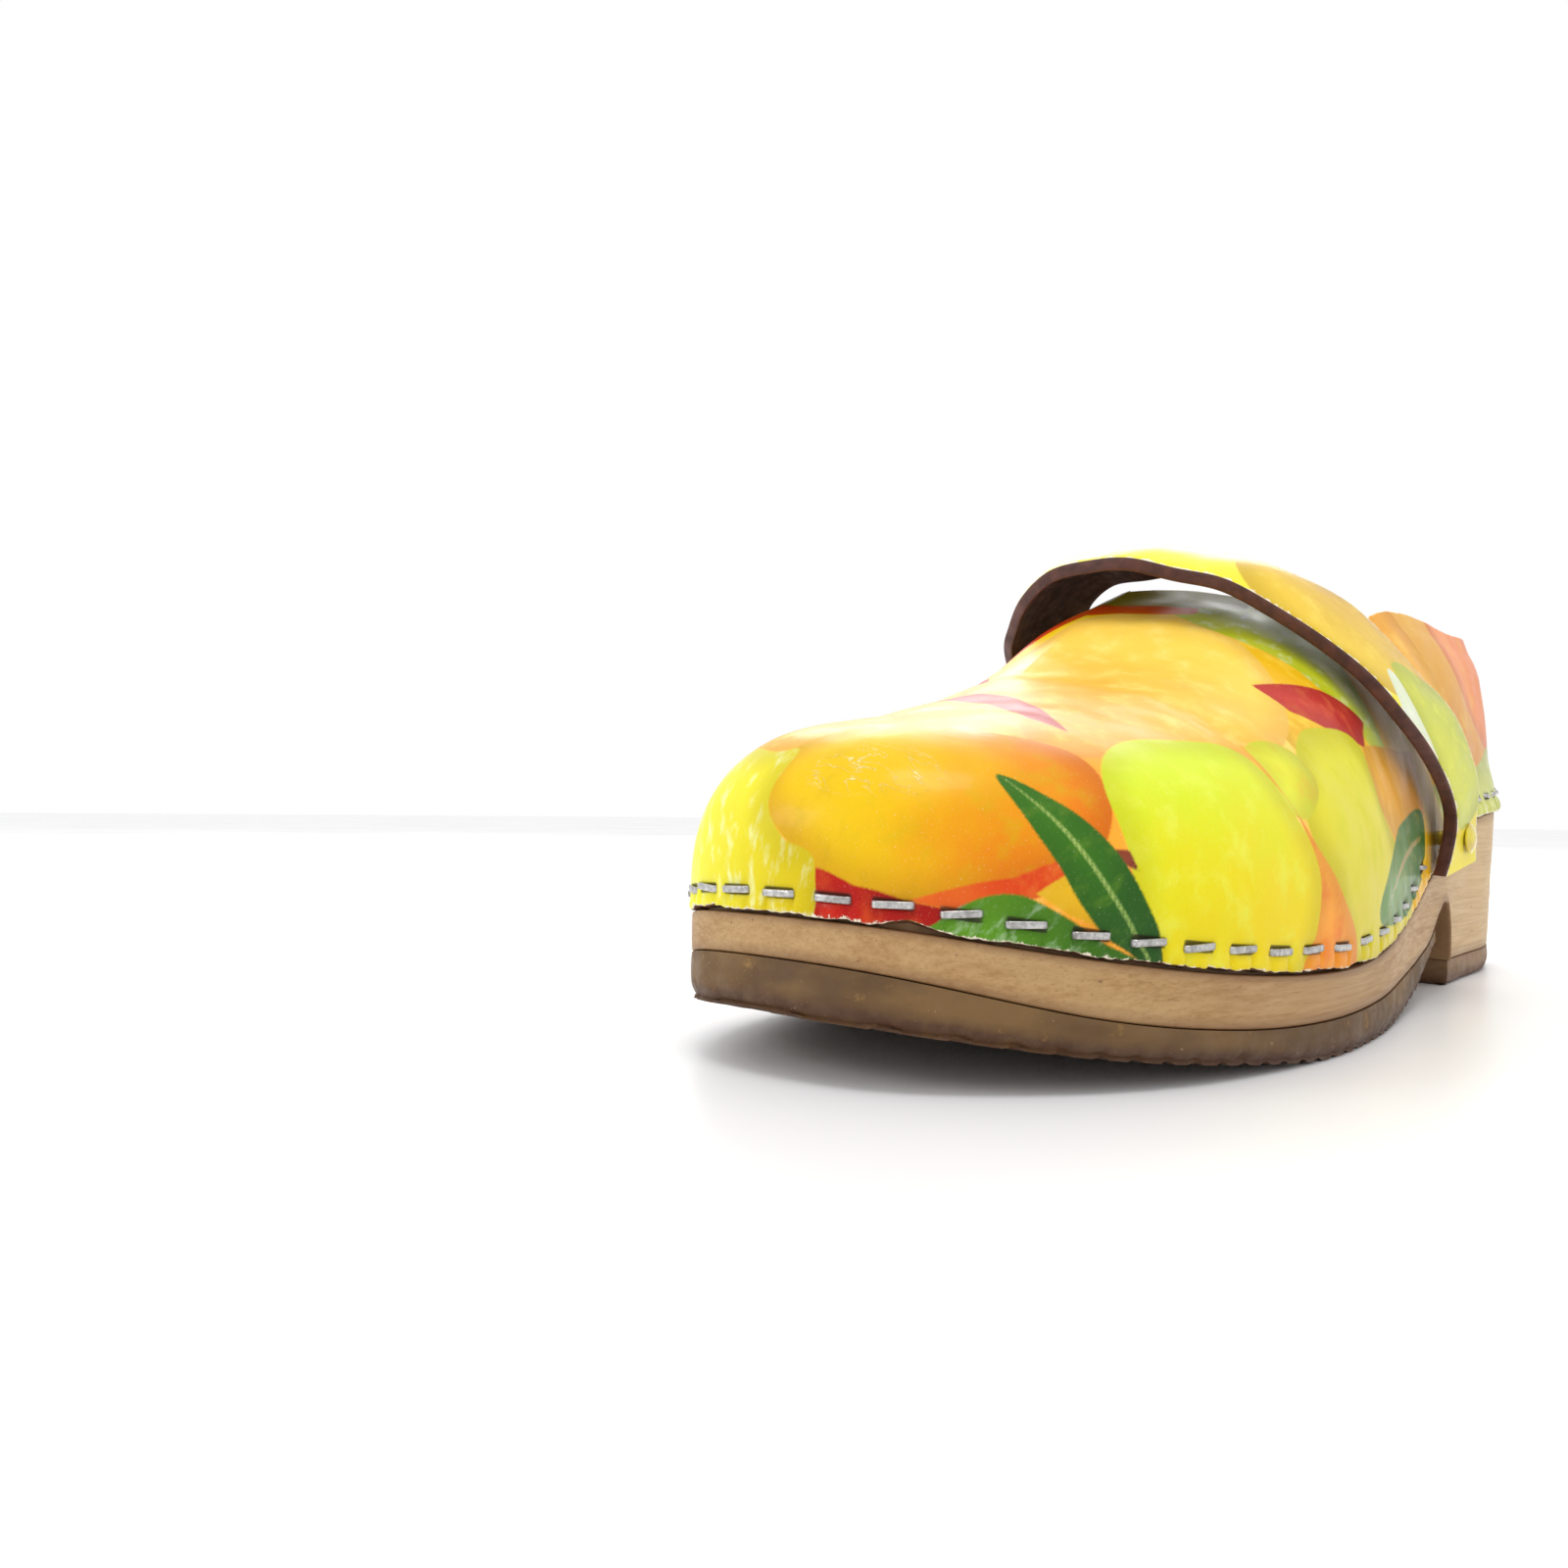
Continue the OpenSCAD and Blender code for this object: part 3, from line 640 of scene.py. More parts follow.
OCHRE = ((232, 172, 40), (226, 150, 20), (214, 150, 16))
GOLD = ((244, 204, 20), (226, 170, 0), (250, 226, 90))
OLIVE_SHADE = ((206, 192, 20), (150, 140, 10), (226, 214, 60))
PALE = ((246, 250, 200), (222, 236, 110), (255, 255, 236))
SALMON = ((224, 170, 70), (206, 134, 40), (234, 196, 110))


def up(c, g=(0, 1), r=(-100, 0), streaky=0):
    return (c, g, r, streaky)


vamp_list = [
    # name, outline, fill
    ("gold_back", curve([(-70, -20), (-40, 40), (0, 60), (50, 60), (84, 40), (84, -10), (50, -40), (0, -34), (-50, -50)]), up(GOLD, (1, 0), (-60, 60))),
    ("peach", curve([(24, -100), (7, -86), (-14, -70), (-20, -44), (-8, -22), (10, -12), (30, -24), (40, -50), (34, -80)]), up(PEACH, (0, -1), (20, 90))),
    ("crest_green", curve([(-2, -11), (2, 8), (16, 18), (30, 18), (46, 20), (38, 0), (24, -8), (10, -14)]), up(((196, 220, 110), (200, 206, 30), (232, 242, 190)), (0.3, -1), (-16, 12), 1)),
    ("crest_red", curve([(-34, -28), (-26, -30), (-14, -26), (-4, -18), (3, -9), (-2, -4), (-12, -10), (-24, -16), (-34, -20)]), up(((238, 104, 20), (216, 44, 8), (244, 140, 40)), (-1, 0), (-4, 30))),
    # print at the crest, its yellow darkened to olive as painted shade where the strap shades it
    ("crest_olive_shade", curve([(-28, -10), (-20, -17), (-12, -18), (-4, -11), (2, -4), (5, 8), (-8, 12), (-26, 4)]), up(OLIVE_SHADE, (0, 1), (-14, 6))),
    ("crimson_r", np.array([(25, -28), (31, -6), (37, 10), (43, 0), (41, -14), (33, -27)], float), up(CRIMSON, (0, 1), (-30, 10))),
    ("ochre", np.array([(43, -2), (38, 44), (50, 50), (60, 6), (54, -10)], float), up(OCHRE, (0, 1), (-10, 50))),
    ("apple_b", curve([(38, -34), (38, -20), (43, -4), (54, -8), (60, 2), (67, 14), (74, 26), (82, 4), (82, -30), (76, -40), (64, -47), (55, -54), (46, -50)]), up(APPLE2, (1, 0), (40, 80))),
    ("apple_s", curve([(37, -56), (37, -50), (41, -43), (48, -44), (52, -54), (48, -60), (42, -58)]), up(((226, 226, 60), (206, 204, 30), (236, 170, 60)), (0, 1), (-58, -42))),
    ("wedge", curve([(36, -56), (43, -58), (53, -56), (63, -55), (76, -62), (82, -38), (74, -37), (64, -46), (55, -54), (46, -57)]), up(((246, 176, 50), (240, 150, 30), (226, 90, 40)), (1, 0), (36, 80))),
    ("mango", curve([(-8, -122), (-8, -131), (-2, -136), (8, -139), (20, -138), (30, -133), (38, -123), (42, -112), (42, -103), (35, -97), (26, -96), (14, -103), (2, -110)]), up(MANGO, (0.9, 0.45), (-50, -8))),
    ("crimson_l", np.array([(-14, -78), (-8, -72), (0, -75), (12, -83), (22, -90), (14, -90), (-2, -82)], float), up(CRIMSON, (1, 0), (-14, 24))),
    ("red", np.array([(9, -139), (11, -150), (20, -152), (34, -141), (36, -128), (28, -134), (18, -138)], float), up(RED, (1, 0), (8, 40))),
    ("red_b", np.array([(28, -134), (36, -128), (41, -121), (44, -112), (42, -104), (38, -118), (32, -128)], float), up(((240, 110, 30), (226, 60, 16), (246, 150, 50)), (1, 0), (28, 44))),
    ("yellow_w", np.array([(42, -116), (43, -103), (50, -100), (56, -104), (48, -112)], float), up(((240, 190, 30), (226, 160, 14), (246, 210, 80)), (1, 0), (42, 56))),
    ("green", curve([(33, -146), (34, -135), (36, -126), (40, -119), (46, -114), (54, -108), (64, -100), (62, -122), (48, -138)]), up(GREEN, (1, 1), (-100, -50), 1)),
    ("yellow_t", np.array([(31, -136), (34, -134), (37, -137), (40, -150), (30, -150)], float), up(GOLD, (1, 0), (28, 40))),
    ("apple_a", curve([(30, -92), (36, -98), (46, -100), (58, -102), (66, -98), (74, -84), (78, -66), (72, -58), (63, -54), (56, -55), (49, -58), (43, -58), (37, -60), (32, -70), (28, -82)]), up(APPLE, (1, 0.1), (22, 60))),
    ("maroon", np.array([(43, -102.4), (46, -101.4), (48, -99.2), (44.6, -99.6)], float), up(((150, 70, 40), (120, 40, 30), (180, 100, 60)), (1, 0), (42, 50))),
    ("leaf", curve([(24, -111), (33, -112), (41, -111), (47, -110), (54, -107), (60, -102), (68, -98), (60, -97), (53, -99), (46, -101), (40, -103), (33, -106)]), up(LEAF, (1, 0), (24, 66), 1)),
    ("vein", curve([(25, -110.6), (36, -108.3), (48, -105.2), (60, -100.6), (66, -98.2), (60, -100.0), (48, -104.6), (36, -107.8)]), up(VEIN, (1, 0), (24, 66))),
    ("leaf_d", curve([(50, 46), (54, 26), (60, 4), (66, -16), (72, -20), (74, 0), (72, 22), (62, 44)]), up(LEAFD, (0, 1), (-20, 46), 1)),
    ("vein_d", curve([(56, 40), (64, 10), (70, -14), (65.2, 10), (57, 40)]), up(((196, 170, 120), (170, 150, 90), (214, 200, 150)), (0, 1), (-20, 46))),
    ("blue_r", curve([(75, 30), (76, 12), (82, -4), (90, -4), (90, 40), (78, 50)]), up(((190, 196, 60), (150, 164, 40), (214, 216, 110)), (0, 1), (-4, 40))),
    ("lemon", curve([(-6, -122), (-12, -122), (-26, -116), (-44, -120), (-60, -134), (-40, -156), (-6, -160), (12, -154), (9, -139), (0, -137), (-6, -132)]), up(LEMON, (1, -0.4), (10, 70), 1)),
    # the inner side
    ("pear_m", oval(-52, -86, 17, 26, 12, 0.2), up(((226, 222, 60), (206, 176, 20), (236, 236, 120)), (-1, 0), (36, 70))),
    ("orange_m", oval(-30, -104, 15, 17, 20), up(ORANGE, (-1, 0.3), (-10, 30))),
    ("leaf_m", blade(-20, -92, -62, -62, 11, 4), up(LEAF, (-1, 0), (20, 62), 1)),
    ("vein_m", blade(-20.6, -91.6, -61, -62.6, 0.9, 4), up(VEIN, (-1, 0), (20, 62))),
    ("apple_m", oval(-56, -34, 22, 20, 0, 0.1), up(APPLE, (-1, 0.4), (26, 70))),
    ("plum_m", oval(-32, -52, 12, 13, 0), up(CRIMSON, (-1, 0.4), (6, 46))),
    ("mango_m", oval(-62, 8, 22, 26, 10), up(MANGO, (-1, 0.4), (40, 84))),
    ("leaf_n", blade(-38, -16, -74, 20, 12, -5), up(LEAFD, (-1, 0), (36, 76), 1)),
]
strap_list = [
    ("s_gold", curve([(-6, -4), (-6, 32), (12, 34), (18, 14), (15, -4)]), up(((232, 214, 40), (216, 190, 20), (244, 232, 90)), (1, 0), (0, 18))),
    ("s_ochre", curve([(40, 30), (48, 10), (66, -2), (88, 0), (96, 12), (84, 24), (62, 34)]), up(((228, 192, 50), (206, 160, 24), (240, 214, 96)), (0, 1), (0, 28))),
    ("s_apple", curve([(12, 26), (11, 4), (26, -4), (42, 0), (52, 5), (60, 12), (52, 22), (36, 29)]), up(((206, 210, 46), (176, 182, 22), (228, 230, 100)), (0, 1), (0, 27))),
    # painted highlight: a white gleam along the strap's front edge
    ("s_edge_gleam", curve([(14, -3), (30, -1.5), (46, 2.5), (58, 9), (60, 6), (48, -4), (30, -6)]), up(((252, 252, 242), (232, 240, 206), (255, 255, 255)), (1, 0), (10, 60))),
    ("s_green", curve([(84, 30), (92, 21), (110, 18), (132, 21), (146, 30)]), up(((150, 160, 30), (96, 112, 20), (190, 196, 60)), (1, 0), (84, 140), 1)),
    ("s_peach", oval(136, 12, 22, 9, 0), up(((246, 186, 80), (234, 146, 48), (252, 214, 130)), (0, -1), (-24, 2))),
    ("s_lime", oval(204, 14, 20, 13, 10), up(APPLE, (1, 0), (184, 226))),
    ("s_leaf", blade(176, 24, 222, 2, 9, 2), up(LEAF, (1, 0), (176, 222), 1)),
]
counter_list = [
    ("c_gold", curve([(-116, 70), (-84, 66), (-76, 40), (-80, 14), (-116, 10)]), up(((240, 190, 60), (226, 150, 30), (250, 214, 110)), (0, 1), (0, 60))),
    ("c_red", oval(-40, 40, 24, 26, 10), up(((232, 134, 56), (206, 92, 34), (238, 176, 96)), (1, 0), (-60, -16))),
    ("c_rim", curve([(-110, 12), (-70, 11), (-40, 16), (-20, 8), (-20, -6), (-110, -6)]), up(((210, 212, 110), (160, 170, 60), (240, 244, 200)), (1, 0), (-90, -20), 1)),
    ("c_apple", oval(8, 30, 22, 21, 0, 0.1), up(APPLE, (1, 0), (-10, 26))),
    ("c_leaf", blade(-18, 10, 10, 50, 11, 3), up(LEAF, (0, 1), (8, 52), 1)),
    ("c_vein", blade(-17.6, 10.6, 9.6, 49.4, 0.9, 3), up(VEIN, (0, 1), (8, 52))),
    ("c_lemon", oval(46, 20, 20, 17, 20, 0.1), up(((250, 240, 120), (232, 210, 40), (252, 250, 210)), (1, 0), (28, 66))),
    ("c_mango", oval(76, 40, 26, 22, -20), up(MANGO, (1, 0), (56, 100))),
]
VAMP_POLY = [("v_" + n, p) for n, p, _ in vamp_list]
STRAP_POLY = [(n, p) for n, p, _ in strap_list]
COUNTER_POLY = [(n, p) for n, p, _ in counter_list]
VAMP_POLY.append(("crease", oval(10, -122, 12, 5, 24)))

T, acc, flat, nz = printed("film_vamp", up(PEACH, (0, -1), (20, 90)), [("v_" + n, f) for n, _, f in vamp_list])
vamp_print = finish_print(T, acc, flat, nz, "crease")
T, acc, flat, nz = printed("film_strap", up(((236, 222, 60), (216, 192, 20), (246, 240, 130)), (0, 1), (-4, 30)), [(n, f) for n, _, f in strap_list])
strap_print = finish_print(T, acc, flat, nz)
T, acc, flat, nz = printed("film_counter", up(SALMON, (0, -1), (-60, 0)), [(n, f) for n, _, f in counter_list])
counter_print = finish_print(T, acc, flat, nz)
WORLD = 1.0
LIGHTS = [
    ("window_back", (-0.62, 0.92, 0.86), (0, 0, 0.05), 1.05, 0.50, 8),
    ("overhead", (0.22, -0.24, 1.20), (0, -0.02, 0.04), 0.50, 0.36, 4.6),
    ("front_left", (-0.55, -0.95, 0.55), (0, -0.05, 0.03), 0.30, 0.26, 1.6),
]


# ---------------------------------------------------------------- staples: where they sit
def pitch_walk(u0, u1, pitch=8.8, gap=0.4):
    out, u = [], u0
    while u <= u1:
        out.append(u)
        d = pitch * (1 + gap * float(smooth(3, 5, u)) * (1 - float(smooth(7, 8, u))))
        while d > 0:
            d -= float(np.linalg.norm(outl(u + 0.02) - outl(u)))
            u += 0.02
    return out


front = pitch_walk(0.22, 6.8)
VAMP_ST = sorted([-u for u in front] + front)
COUNTER_ST = pitch_walk(8.06, 13.95)
AU = np.linspace(-8, 15.5, 2351)
_a = outl(AU)
_as = np.concatenate([[0], np.cumsum(np.linalg.norm(np.diff(_a, axis=0), axis=-1))])


def along(u):
    """Millimetres along the rim from the toe."""
    return np.interp(u, AU, _as) - np.interp(0, AU, _as)


def staple_up(u):
    return 3.3 + 0.9 * smooth(-110, -20, outl(u)[..., 1])


def f_at(u, up):
    """The section share that lies so far above the rim."""
    u = np.asarray(u, float)
    k = 1 - 0.26 * inner(u) - 0.16 * round_heel(u)
    h = ridge(u)[..., 2] - rim_z(outl(u)[..., 1])
    return np.degrees(np.arcsin(np.clip(up / h, 0, 1) ** (1 / k))) / 90


def pinch(s, h, at, ups):
    """How the leather gives round its staples: mm outward at s along the rim and h above it."""
    d = np.zeros(np.broadcast(s, h).shape)
    for a, up in zip(at, ups):
        ds, dh = s - a, h - up
        d -= 0.45 * np.exp(-(np.maximum(0, np.abs(ds) - 2.2) / 1.0) ** 2 - (dh / 1.15) ** 2)
        for e in (-2.6, 2.6):
            d -= 0.42 * np.exp(-((ds - e * (1 + 0.04 * dh)) / 0.42) ** 2) * smooth(up + 0.3, up - 1.2, h) * smooth(-0.6, 0.5, h)
        d += 0.22 * np.exp(-(ds / 2.0) ** 2 - ((h - up * 0.45) / 1.2) ** 2)
    return d


def normals_of(g):
    du, df = np.gradient(g, axis=0), np.gradient(g, axis=1)
    n = np.cross(du, df)
    l = np.linalg.norm(n, axis=-1, keepdims=True)
    return n / np.maximum(l, 1e-9)


LT = 2.2  # leather thickness


def leather(name, U, F, d0, mats, body, nodes, flat, print_shapes, stations, ups, edges, extra=None, ragged=None):
    """A shell from the outer surface last(U, F, d0) and the same one leather thickness in. edges(u, f) gives mm from the nearest cut edge."""
    n, m = F.shape
    Ug = np.broadcast_to(U[:, None], F.shape)
    O = last(Ug, F, d0)
    I = last(Ug, F, d0 + LT)
    N = normals_of(O)
    mid = O.reshape(-1, 3).mean(0)
    mid[2] = 20
    if ((O - mid) * N).sum() < 0:
        N = -N
    s = along(Ug)
    h = O[..., 2] - rim_z(outl(Ug)[..., 1])
    e = edges(Ug, F, O)
    D = pinch(s, h, [float(along(a)) for a in stations], ups)
    if extra is not None:
        D = D + extra(Ug, F, O, s, h)
    O = O + N * D[..., None]
    I = I + N * (np.minimum(D, 0.0) * 0.5)[..., None]
    # softened cut edge of the film side
    O = O - N * (0.34 * np.clip(1 - e / 0.7, 0, 1) ** 2)[..., None]
    if ragged is not None:
        z, out = ragged(s, h)
        nn = outn(Ug)
        for G, k in ((O, 1.0), (I, 0.6)):
            G[..., 2] += z * k
            G[..., 0] += nn[..., 0] * out * k
            G[..., 1] += nn[..., 1] * out * k
    V = np.concatenate([O.reshape(-1, 3), I.reshape(-1, 3)])
    k = n * m
    idx = np.arange(k).reshape(n, m)
    faces = [grid(n, m), grid(n, m, k, True)]
    rims = [(idx[:, 0], idx[:, 0] + k)]
    rims += [(idx[0], idx[0] + k), (idx[-1], idx[-1] + k)]
    if not (F[:, -1] >= 1).all():
        rims.append((idx[:, -1], idx[:, -1] + k))
    mat = [np.zeros(len(faces[0]), int), np.full(len(faces[1]), 2)]
    for p, q in rims:
        a, b = V[p], V[q]
        rows = [p]
        for t in (0.33, 0.66):
            base = len(V)
            outw = O.reshape(-1, 3)[p] - last_in(name, p, n, m, O)
            outw /= np.maximum(np.linalg.norm(outw, axis=1, keepdims=True), 1e-9)
            rough = 0.10 * wob(a * (1 - t) + b * t, 1.6, 3)[:, None]
            V = np.concatenate([V, a * (1 - t) + b * t + outw * (0.16 + rough)])
            rows.append(np.arange(base, base + len(p)))
        rows.append(q)
        for r0, r1 in zip(rows[:-1], rows[1:]):
            f = strip(r0, r1)
            faces.append(f)
            mat.append(np.ones(len(f), int))
    fl = flat(Ug, F).reshape(-1, 2)
    pad = len(V) - k
    fl3 = np.concatenate([np.concatenate([fl, fl]), np.zeros((len(V) - 2 * k, 2))])
    fl3 = np.concatenate([fl3, np.zeros((len(V), 1))], axis=1)
    # distance to each staple's punched rim, which carries the painted shade round the crown
    hole_and_shade = np.full(s.shape, 9.0)
    for a, up_ in zip([float(along(x)) for x in stations], ups):
        hole_and_shade = np.minimum(hole_and_shade, np.hypot(np.maximum(0, np.abs(s - a) - 2.72), np.maximum(0, np.abs(h - up_) - 0.68)))
    attrs = {"flat": fl3, "edge": np.concatenate([e.ravel(), np.zeros(pad)]), "hole_and_shade": np.concatenate([hole_and_shade.ravel(), np.full(pad, 9.0)])}
    for key, poly in print_shapes:
        attrs[key] = np.concatenate([dist_to(poly, fl), np.full(pad, 9.0)])
    return mesh_of(name, V, np.concatenate(faces), mats, body, nodes, np.concatenate(mat), attrs, sharp=50, weld=0.002)


def last_in(name, p, n, m, O):
    """The grid points one step in from an edge row."""
    i, j = p // m, p % m
    if (j == 0).all():
        return O[i, 2]
    if (j == m - 1).all():
        return O[i, m - 3]
    return O[2, j] if (i == 0).all() else O[-3, j]


def ragged_rim(s, h):
    k = np.exp(-np.maximum(0, h) / 1.5)
    p = np.stack([s, 0 * s], -1)
    z = 0.28 + 0.28 * wob(p, 9, 1) + 0.14 * wob(p, 2.2, 2) + 1.1 * np.exp(-((s - 24.5) / 3.4) ** 2) + 0.5 * np.exp(-((s + 10) / 3) ** 2)
    out = 0.30 + 0.22 * wob(p, 7, 4) + 0.10 * wob(p, 1.7, 5)
    return z * k, out * np.exp(-np.maximum(0, h) / 2.2)


# ---- vamp
NU, NF = 640, 104
U = 7.35 * np.sign(np.linspace(-1, 1, NU)) * np.abs(np.linspace(-1, 1, NU)) ** 0.95
_low = np.array([0, 0.15, 0.35, 0.7, 1.1, 1.5, 1.9, 2.3, 2.65, 2.95, 3.25, 3.55, 3.85, 4.15, 4.45, 4.75, 5.1, 5.5, 6.0])  # mm above the rim
FV = np.concatenate([f_at(U[:, None], _low[None, :]), np.zeros((NU, NF))], axis=1)
_f6 = FV[:, len(_low) - 1][:, None]
FV[:, len(_low):] = _f6 + (1 - _f6) * np.linspace(0, 1, NF + 1)[None, 1:]


def vamp_edges(u, f, O):
    h = np.linalg.norm(O - O[:, :1], axis=-1)
    r = np.linalg.norm(np.diff(ridge(np.array([7.2, 7.35])), axis=0))
    k = r / (along(7.35) - along(7.2))
    side = (along(7.35) - np.abs(along(u))) * ((1 - f) + f * k)
    return np.minimum(h, np.maximum(0, side))


def vamp_extra(u, f, O, s, h):
    d = 0.34 * wob(O, 34, 1) * smooth(4, 14, h) + 0.10 * wob(O, 12, 2) * smooth(3, 9, h)
    # soft folds across the toe and a shallow crease across the ball of the foot
    y, x = O[..., 1], O[..., 0]
    d = d - 0.5 * np.exp(-((y + 55 + 0.12 * x) / 3.6) ** 2) * smooth(24, 36, h) + 0.35 * np.exp(-((y + 47 + 0.12 * x) / 4.5) ** 2) * smooth(24, 36, h)
    d = d - 0.35 * np.exp(-((y + 88 - 0.2 * x) / 3.0) ** 2) * smooth(18, 28, h) * smooth(30, 0, x)
    return d


vamp = leather("vamp_leather", U, FV, 0.0, [vamp_print, cut_edge, lining], "shoe", ["vamp"], vamp_flat, VAMP_POLY, VAMP_ST,
               [float(staple_up(np.float64(a))) for a in VAMP_ST], vamp_edges, vamp_extra, ragged_rim)

# ---- heel counter
NC, MC = 420, 60
CUu = np.concatenate([np.linspace(6.86, 7.7, 46)[:-1], np.linspace(7.7, 14.3, NC - 90), np.linspace(14.3, 15.14, 46)[1:]])
CUu = np.unique(np.round(CUu, 6))
_ft = spl(TOP, from_toe(CUu))[:, None]
_f6 = f_at(CUu[:, None], _low[None, -1:])
FC = np.concatenate([f_at(CUu[:, None], _low[None, :]), _f6 + (_ft - _f6) * np.concatenate([np.linspace(0, 1, MC)[1:-1], [0.988, 0.995, 1.0]])[None, :]], axis=1)
tuck = (LT + 0.15) * (1 - smooth(7.38, 7.64, from_toe(CUu)))


def counter_edges(u, f, O):
    a = np.linalg.norm(O - O[:, :1], axis=-1)
    b = np.linalg.norm(O - O[:, -1:], axis=-1)
    return np.minimum(a, b)


def counter_extra(u, f, O, s, h):
    b = np.linalg.norm(O - O[:, -1:], axis=-1)
    back = np.abs(u - 11)
    d = 0.28 * wob(O, 30, 5) * smooth(5, 14, h) + 0.08 * wob(O, 11, 6) * smooth(3, 9, h)
    d = d + 0.30 * np.exp(-(b / 2.6) ** 2) - 0.12 * np.exp(-((b - 5) / 1.6) ** 2)
    return d - 0.10 * np.exp(-(back / 0.06) ** 2)


counter = leather("heel_counter_leather", CUu, FC, tuck[:, None], [counter_print, cut_edge, lining], "shoe", ["heel_counter"], counter_flat,
                  COUNTER_POLY, COUNTER_ST, [float(staple_up(np.float64(a))) for a in COUNTER_ST], counter_edges, counter_extra,
                  lambda s, h: tuple(x * smooth(150, 165, np.abs(np.broadcast_to(s, h.shape))) * 0.7 for x in ragged_rim(s, h)))

# ---- instep strap
Q = np.concatenate([np.linspace(0, 1, 12)[:-1], np.linspace(1, 22, 300), np.linspace(22, 23, 12)[1:]])
ST = 2.8
arc_b = []
for t in np.linspace(0, 1, 25):  # outer face, front to rear
    arc_b.append((0.02 + 0.96 * t, 0.0, 0))
prof = [(b, d) for b, d, _ in arc_b]
prof = prof[:-1] + [(0.98, 0.0), (0.992, 0.10), (0.999, 0.34)] + [(1.0, x) for x in (0.8, 1.4, 2.0)] + [(0.999, ST - 0.34), (0.992, ST - 0.10)] \
    + [(0.98 - 0.96 * t, ST) for t in np.linspace(0, 1, 17)] + [(0.008, ST - 0.10), (0.001, ST - 0.34)] + [(0.0, x) for x in (2.0, 1.4, 0.8)] + [(0.001, 0.34), (0.008, 0.10)]
prof = np.array(prof)
kind = np.where((prof[:, 1] < 0.2) & (prof[:, 0] > 0.004) & (prof[:, 0] < 0.996), 0, np.where(prof[:, 1] > ST - 0.2, 2, 1))
nq, mp = len(Q), len(prof)
S = strap_pt(Q[:, None], prof[None, :, 0], prof[None, :, 1])
wave = 0.18 * wob(S, 26, 7)[..., None] * strap_n(Q[:, None] + 0 * prof[None, :, 0], prof[None, :, 0] + 0 * Q[:, None]) * smooth(2, 5, Q)[:, None, None] * (1 - smooth(18, 21, Q))[:, None, None]
S = S + wave
V = S.reshape(-1, 3)
ids = np.arange(nq * mp).reshape(nq, mp)
fs, fm = [], []
for j in range(mp):
    k = (j + 1) % mp
    a, b = ids[:, j], ids[:, k]
    f = np.stack([a[:-1], a[1:], b[1:], b[:-1]], -1)
    fs.append(f)
    fm.append(np.full(len(f), 1 if (kind[j] == 1 or kind[k] == 1) else (2 if kind[j] == 2 else 0)))
fs = np.concatenate(fs)
fm = np.concatenate(fm)
tri = []
for row, flip in ((0, False), (nq - 1, True)):
    c = len(V)
    V = np.concatenate([V, S[row].mean(0)[None]])
    for j in range(mp):
        t = (ids[row, j], ids[row, (j + 1) % mp], c)
        tri.append(t[::-1] if flip else t)
faces = [tuple(x) for x in fs] + tri
fm = np.concatenate([fm, np.full(len(tri), 1)])
bb = prof[None, :, 0] + 0 * Q[:, None]
fl = strap_flat(Q[:, None] + 0 * bb, bb).reshape(-1, 2)
wid = fl[:, 1].reshape(nq, mp)[:, 24][:, None]
ed = np.minimum(fl[:, 1].reshape(nq, mp), wid - fl[:, 1].reshape(nq, mp))
ed = np.where(prof[None, :, 1] > 0.2, np.minimum(prof[None, :, 1], ST - prof[None, :, 1]) + 0 * ed, np.maximum(0, ed))
pad = len(V) - nq * mp
attrs = {"flat": np.concatenate([np.concatenate([fl, np.zeros((len(fl), 1))], axis=1), np.zeros((pad, 3))]), "edge": np.concatenate([ed.ravel(), np.ones(pad)]),
         "hole_and_shade": np.full(len(V), 9.0)}
for key, poly in STRAP_POLY:
    attrs[key] = np.concatenate([dist_to(poly, fl), np.full(pad, 9.0)])
strap = mesh_of("instep_strap_leather", V, faces, [strap_print, strap_edge, strap_back], "strap", ["instep_strap"], fm, attrs, sharp=60, weld=0.001)


# ---- wood sole
def spine(u):
    v = np.abs(u)
    l, m = outl(v), outl(-v)
    return np.stack([(l[..., 0] + m[..., 0]) / 2, spl(SPINE, (l[..., 1] + m[..., 1]) / 2)], -1)


def inward(u, s, d):
    c, p = spine(u), inset(u, d)
    return c + (p - c) * np.asarray(s)[..., None]


half = np.unique(np.round(np.concatenate([np.linspace(0, 11, 210), np.linspace(7.0, 7.9, 60)]), 5))
ring = np.concatenate([half, -half[1:-1][::-1]])
oy = outl(ring)[:, 1]
heel_in = 1.8 * smooth(50, 60, oy)
deep = (LT + 0.15) * (1 + smooth(22, 27, oy) * (1 - smooth(59, 63, oy))) + 0.9 * smooth(19, 25, oy)
STEP = 9.0
zb, zt = wood_z(oy), rim_z(oy) - 0.15


def at_z(p, z):
    return np.concatenate([p, np.broadcast_to(np.asarray(z, float), p.shape[:1])[:, None]], axis=1)


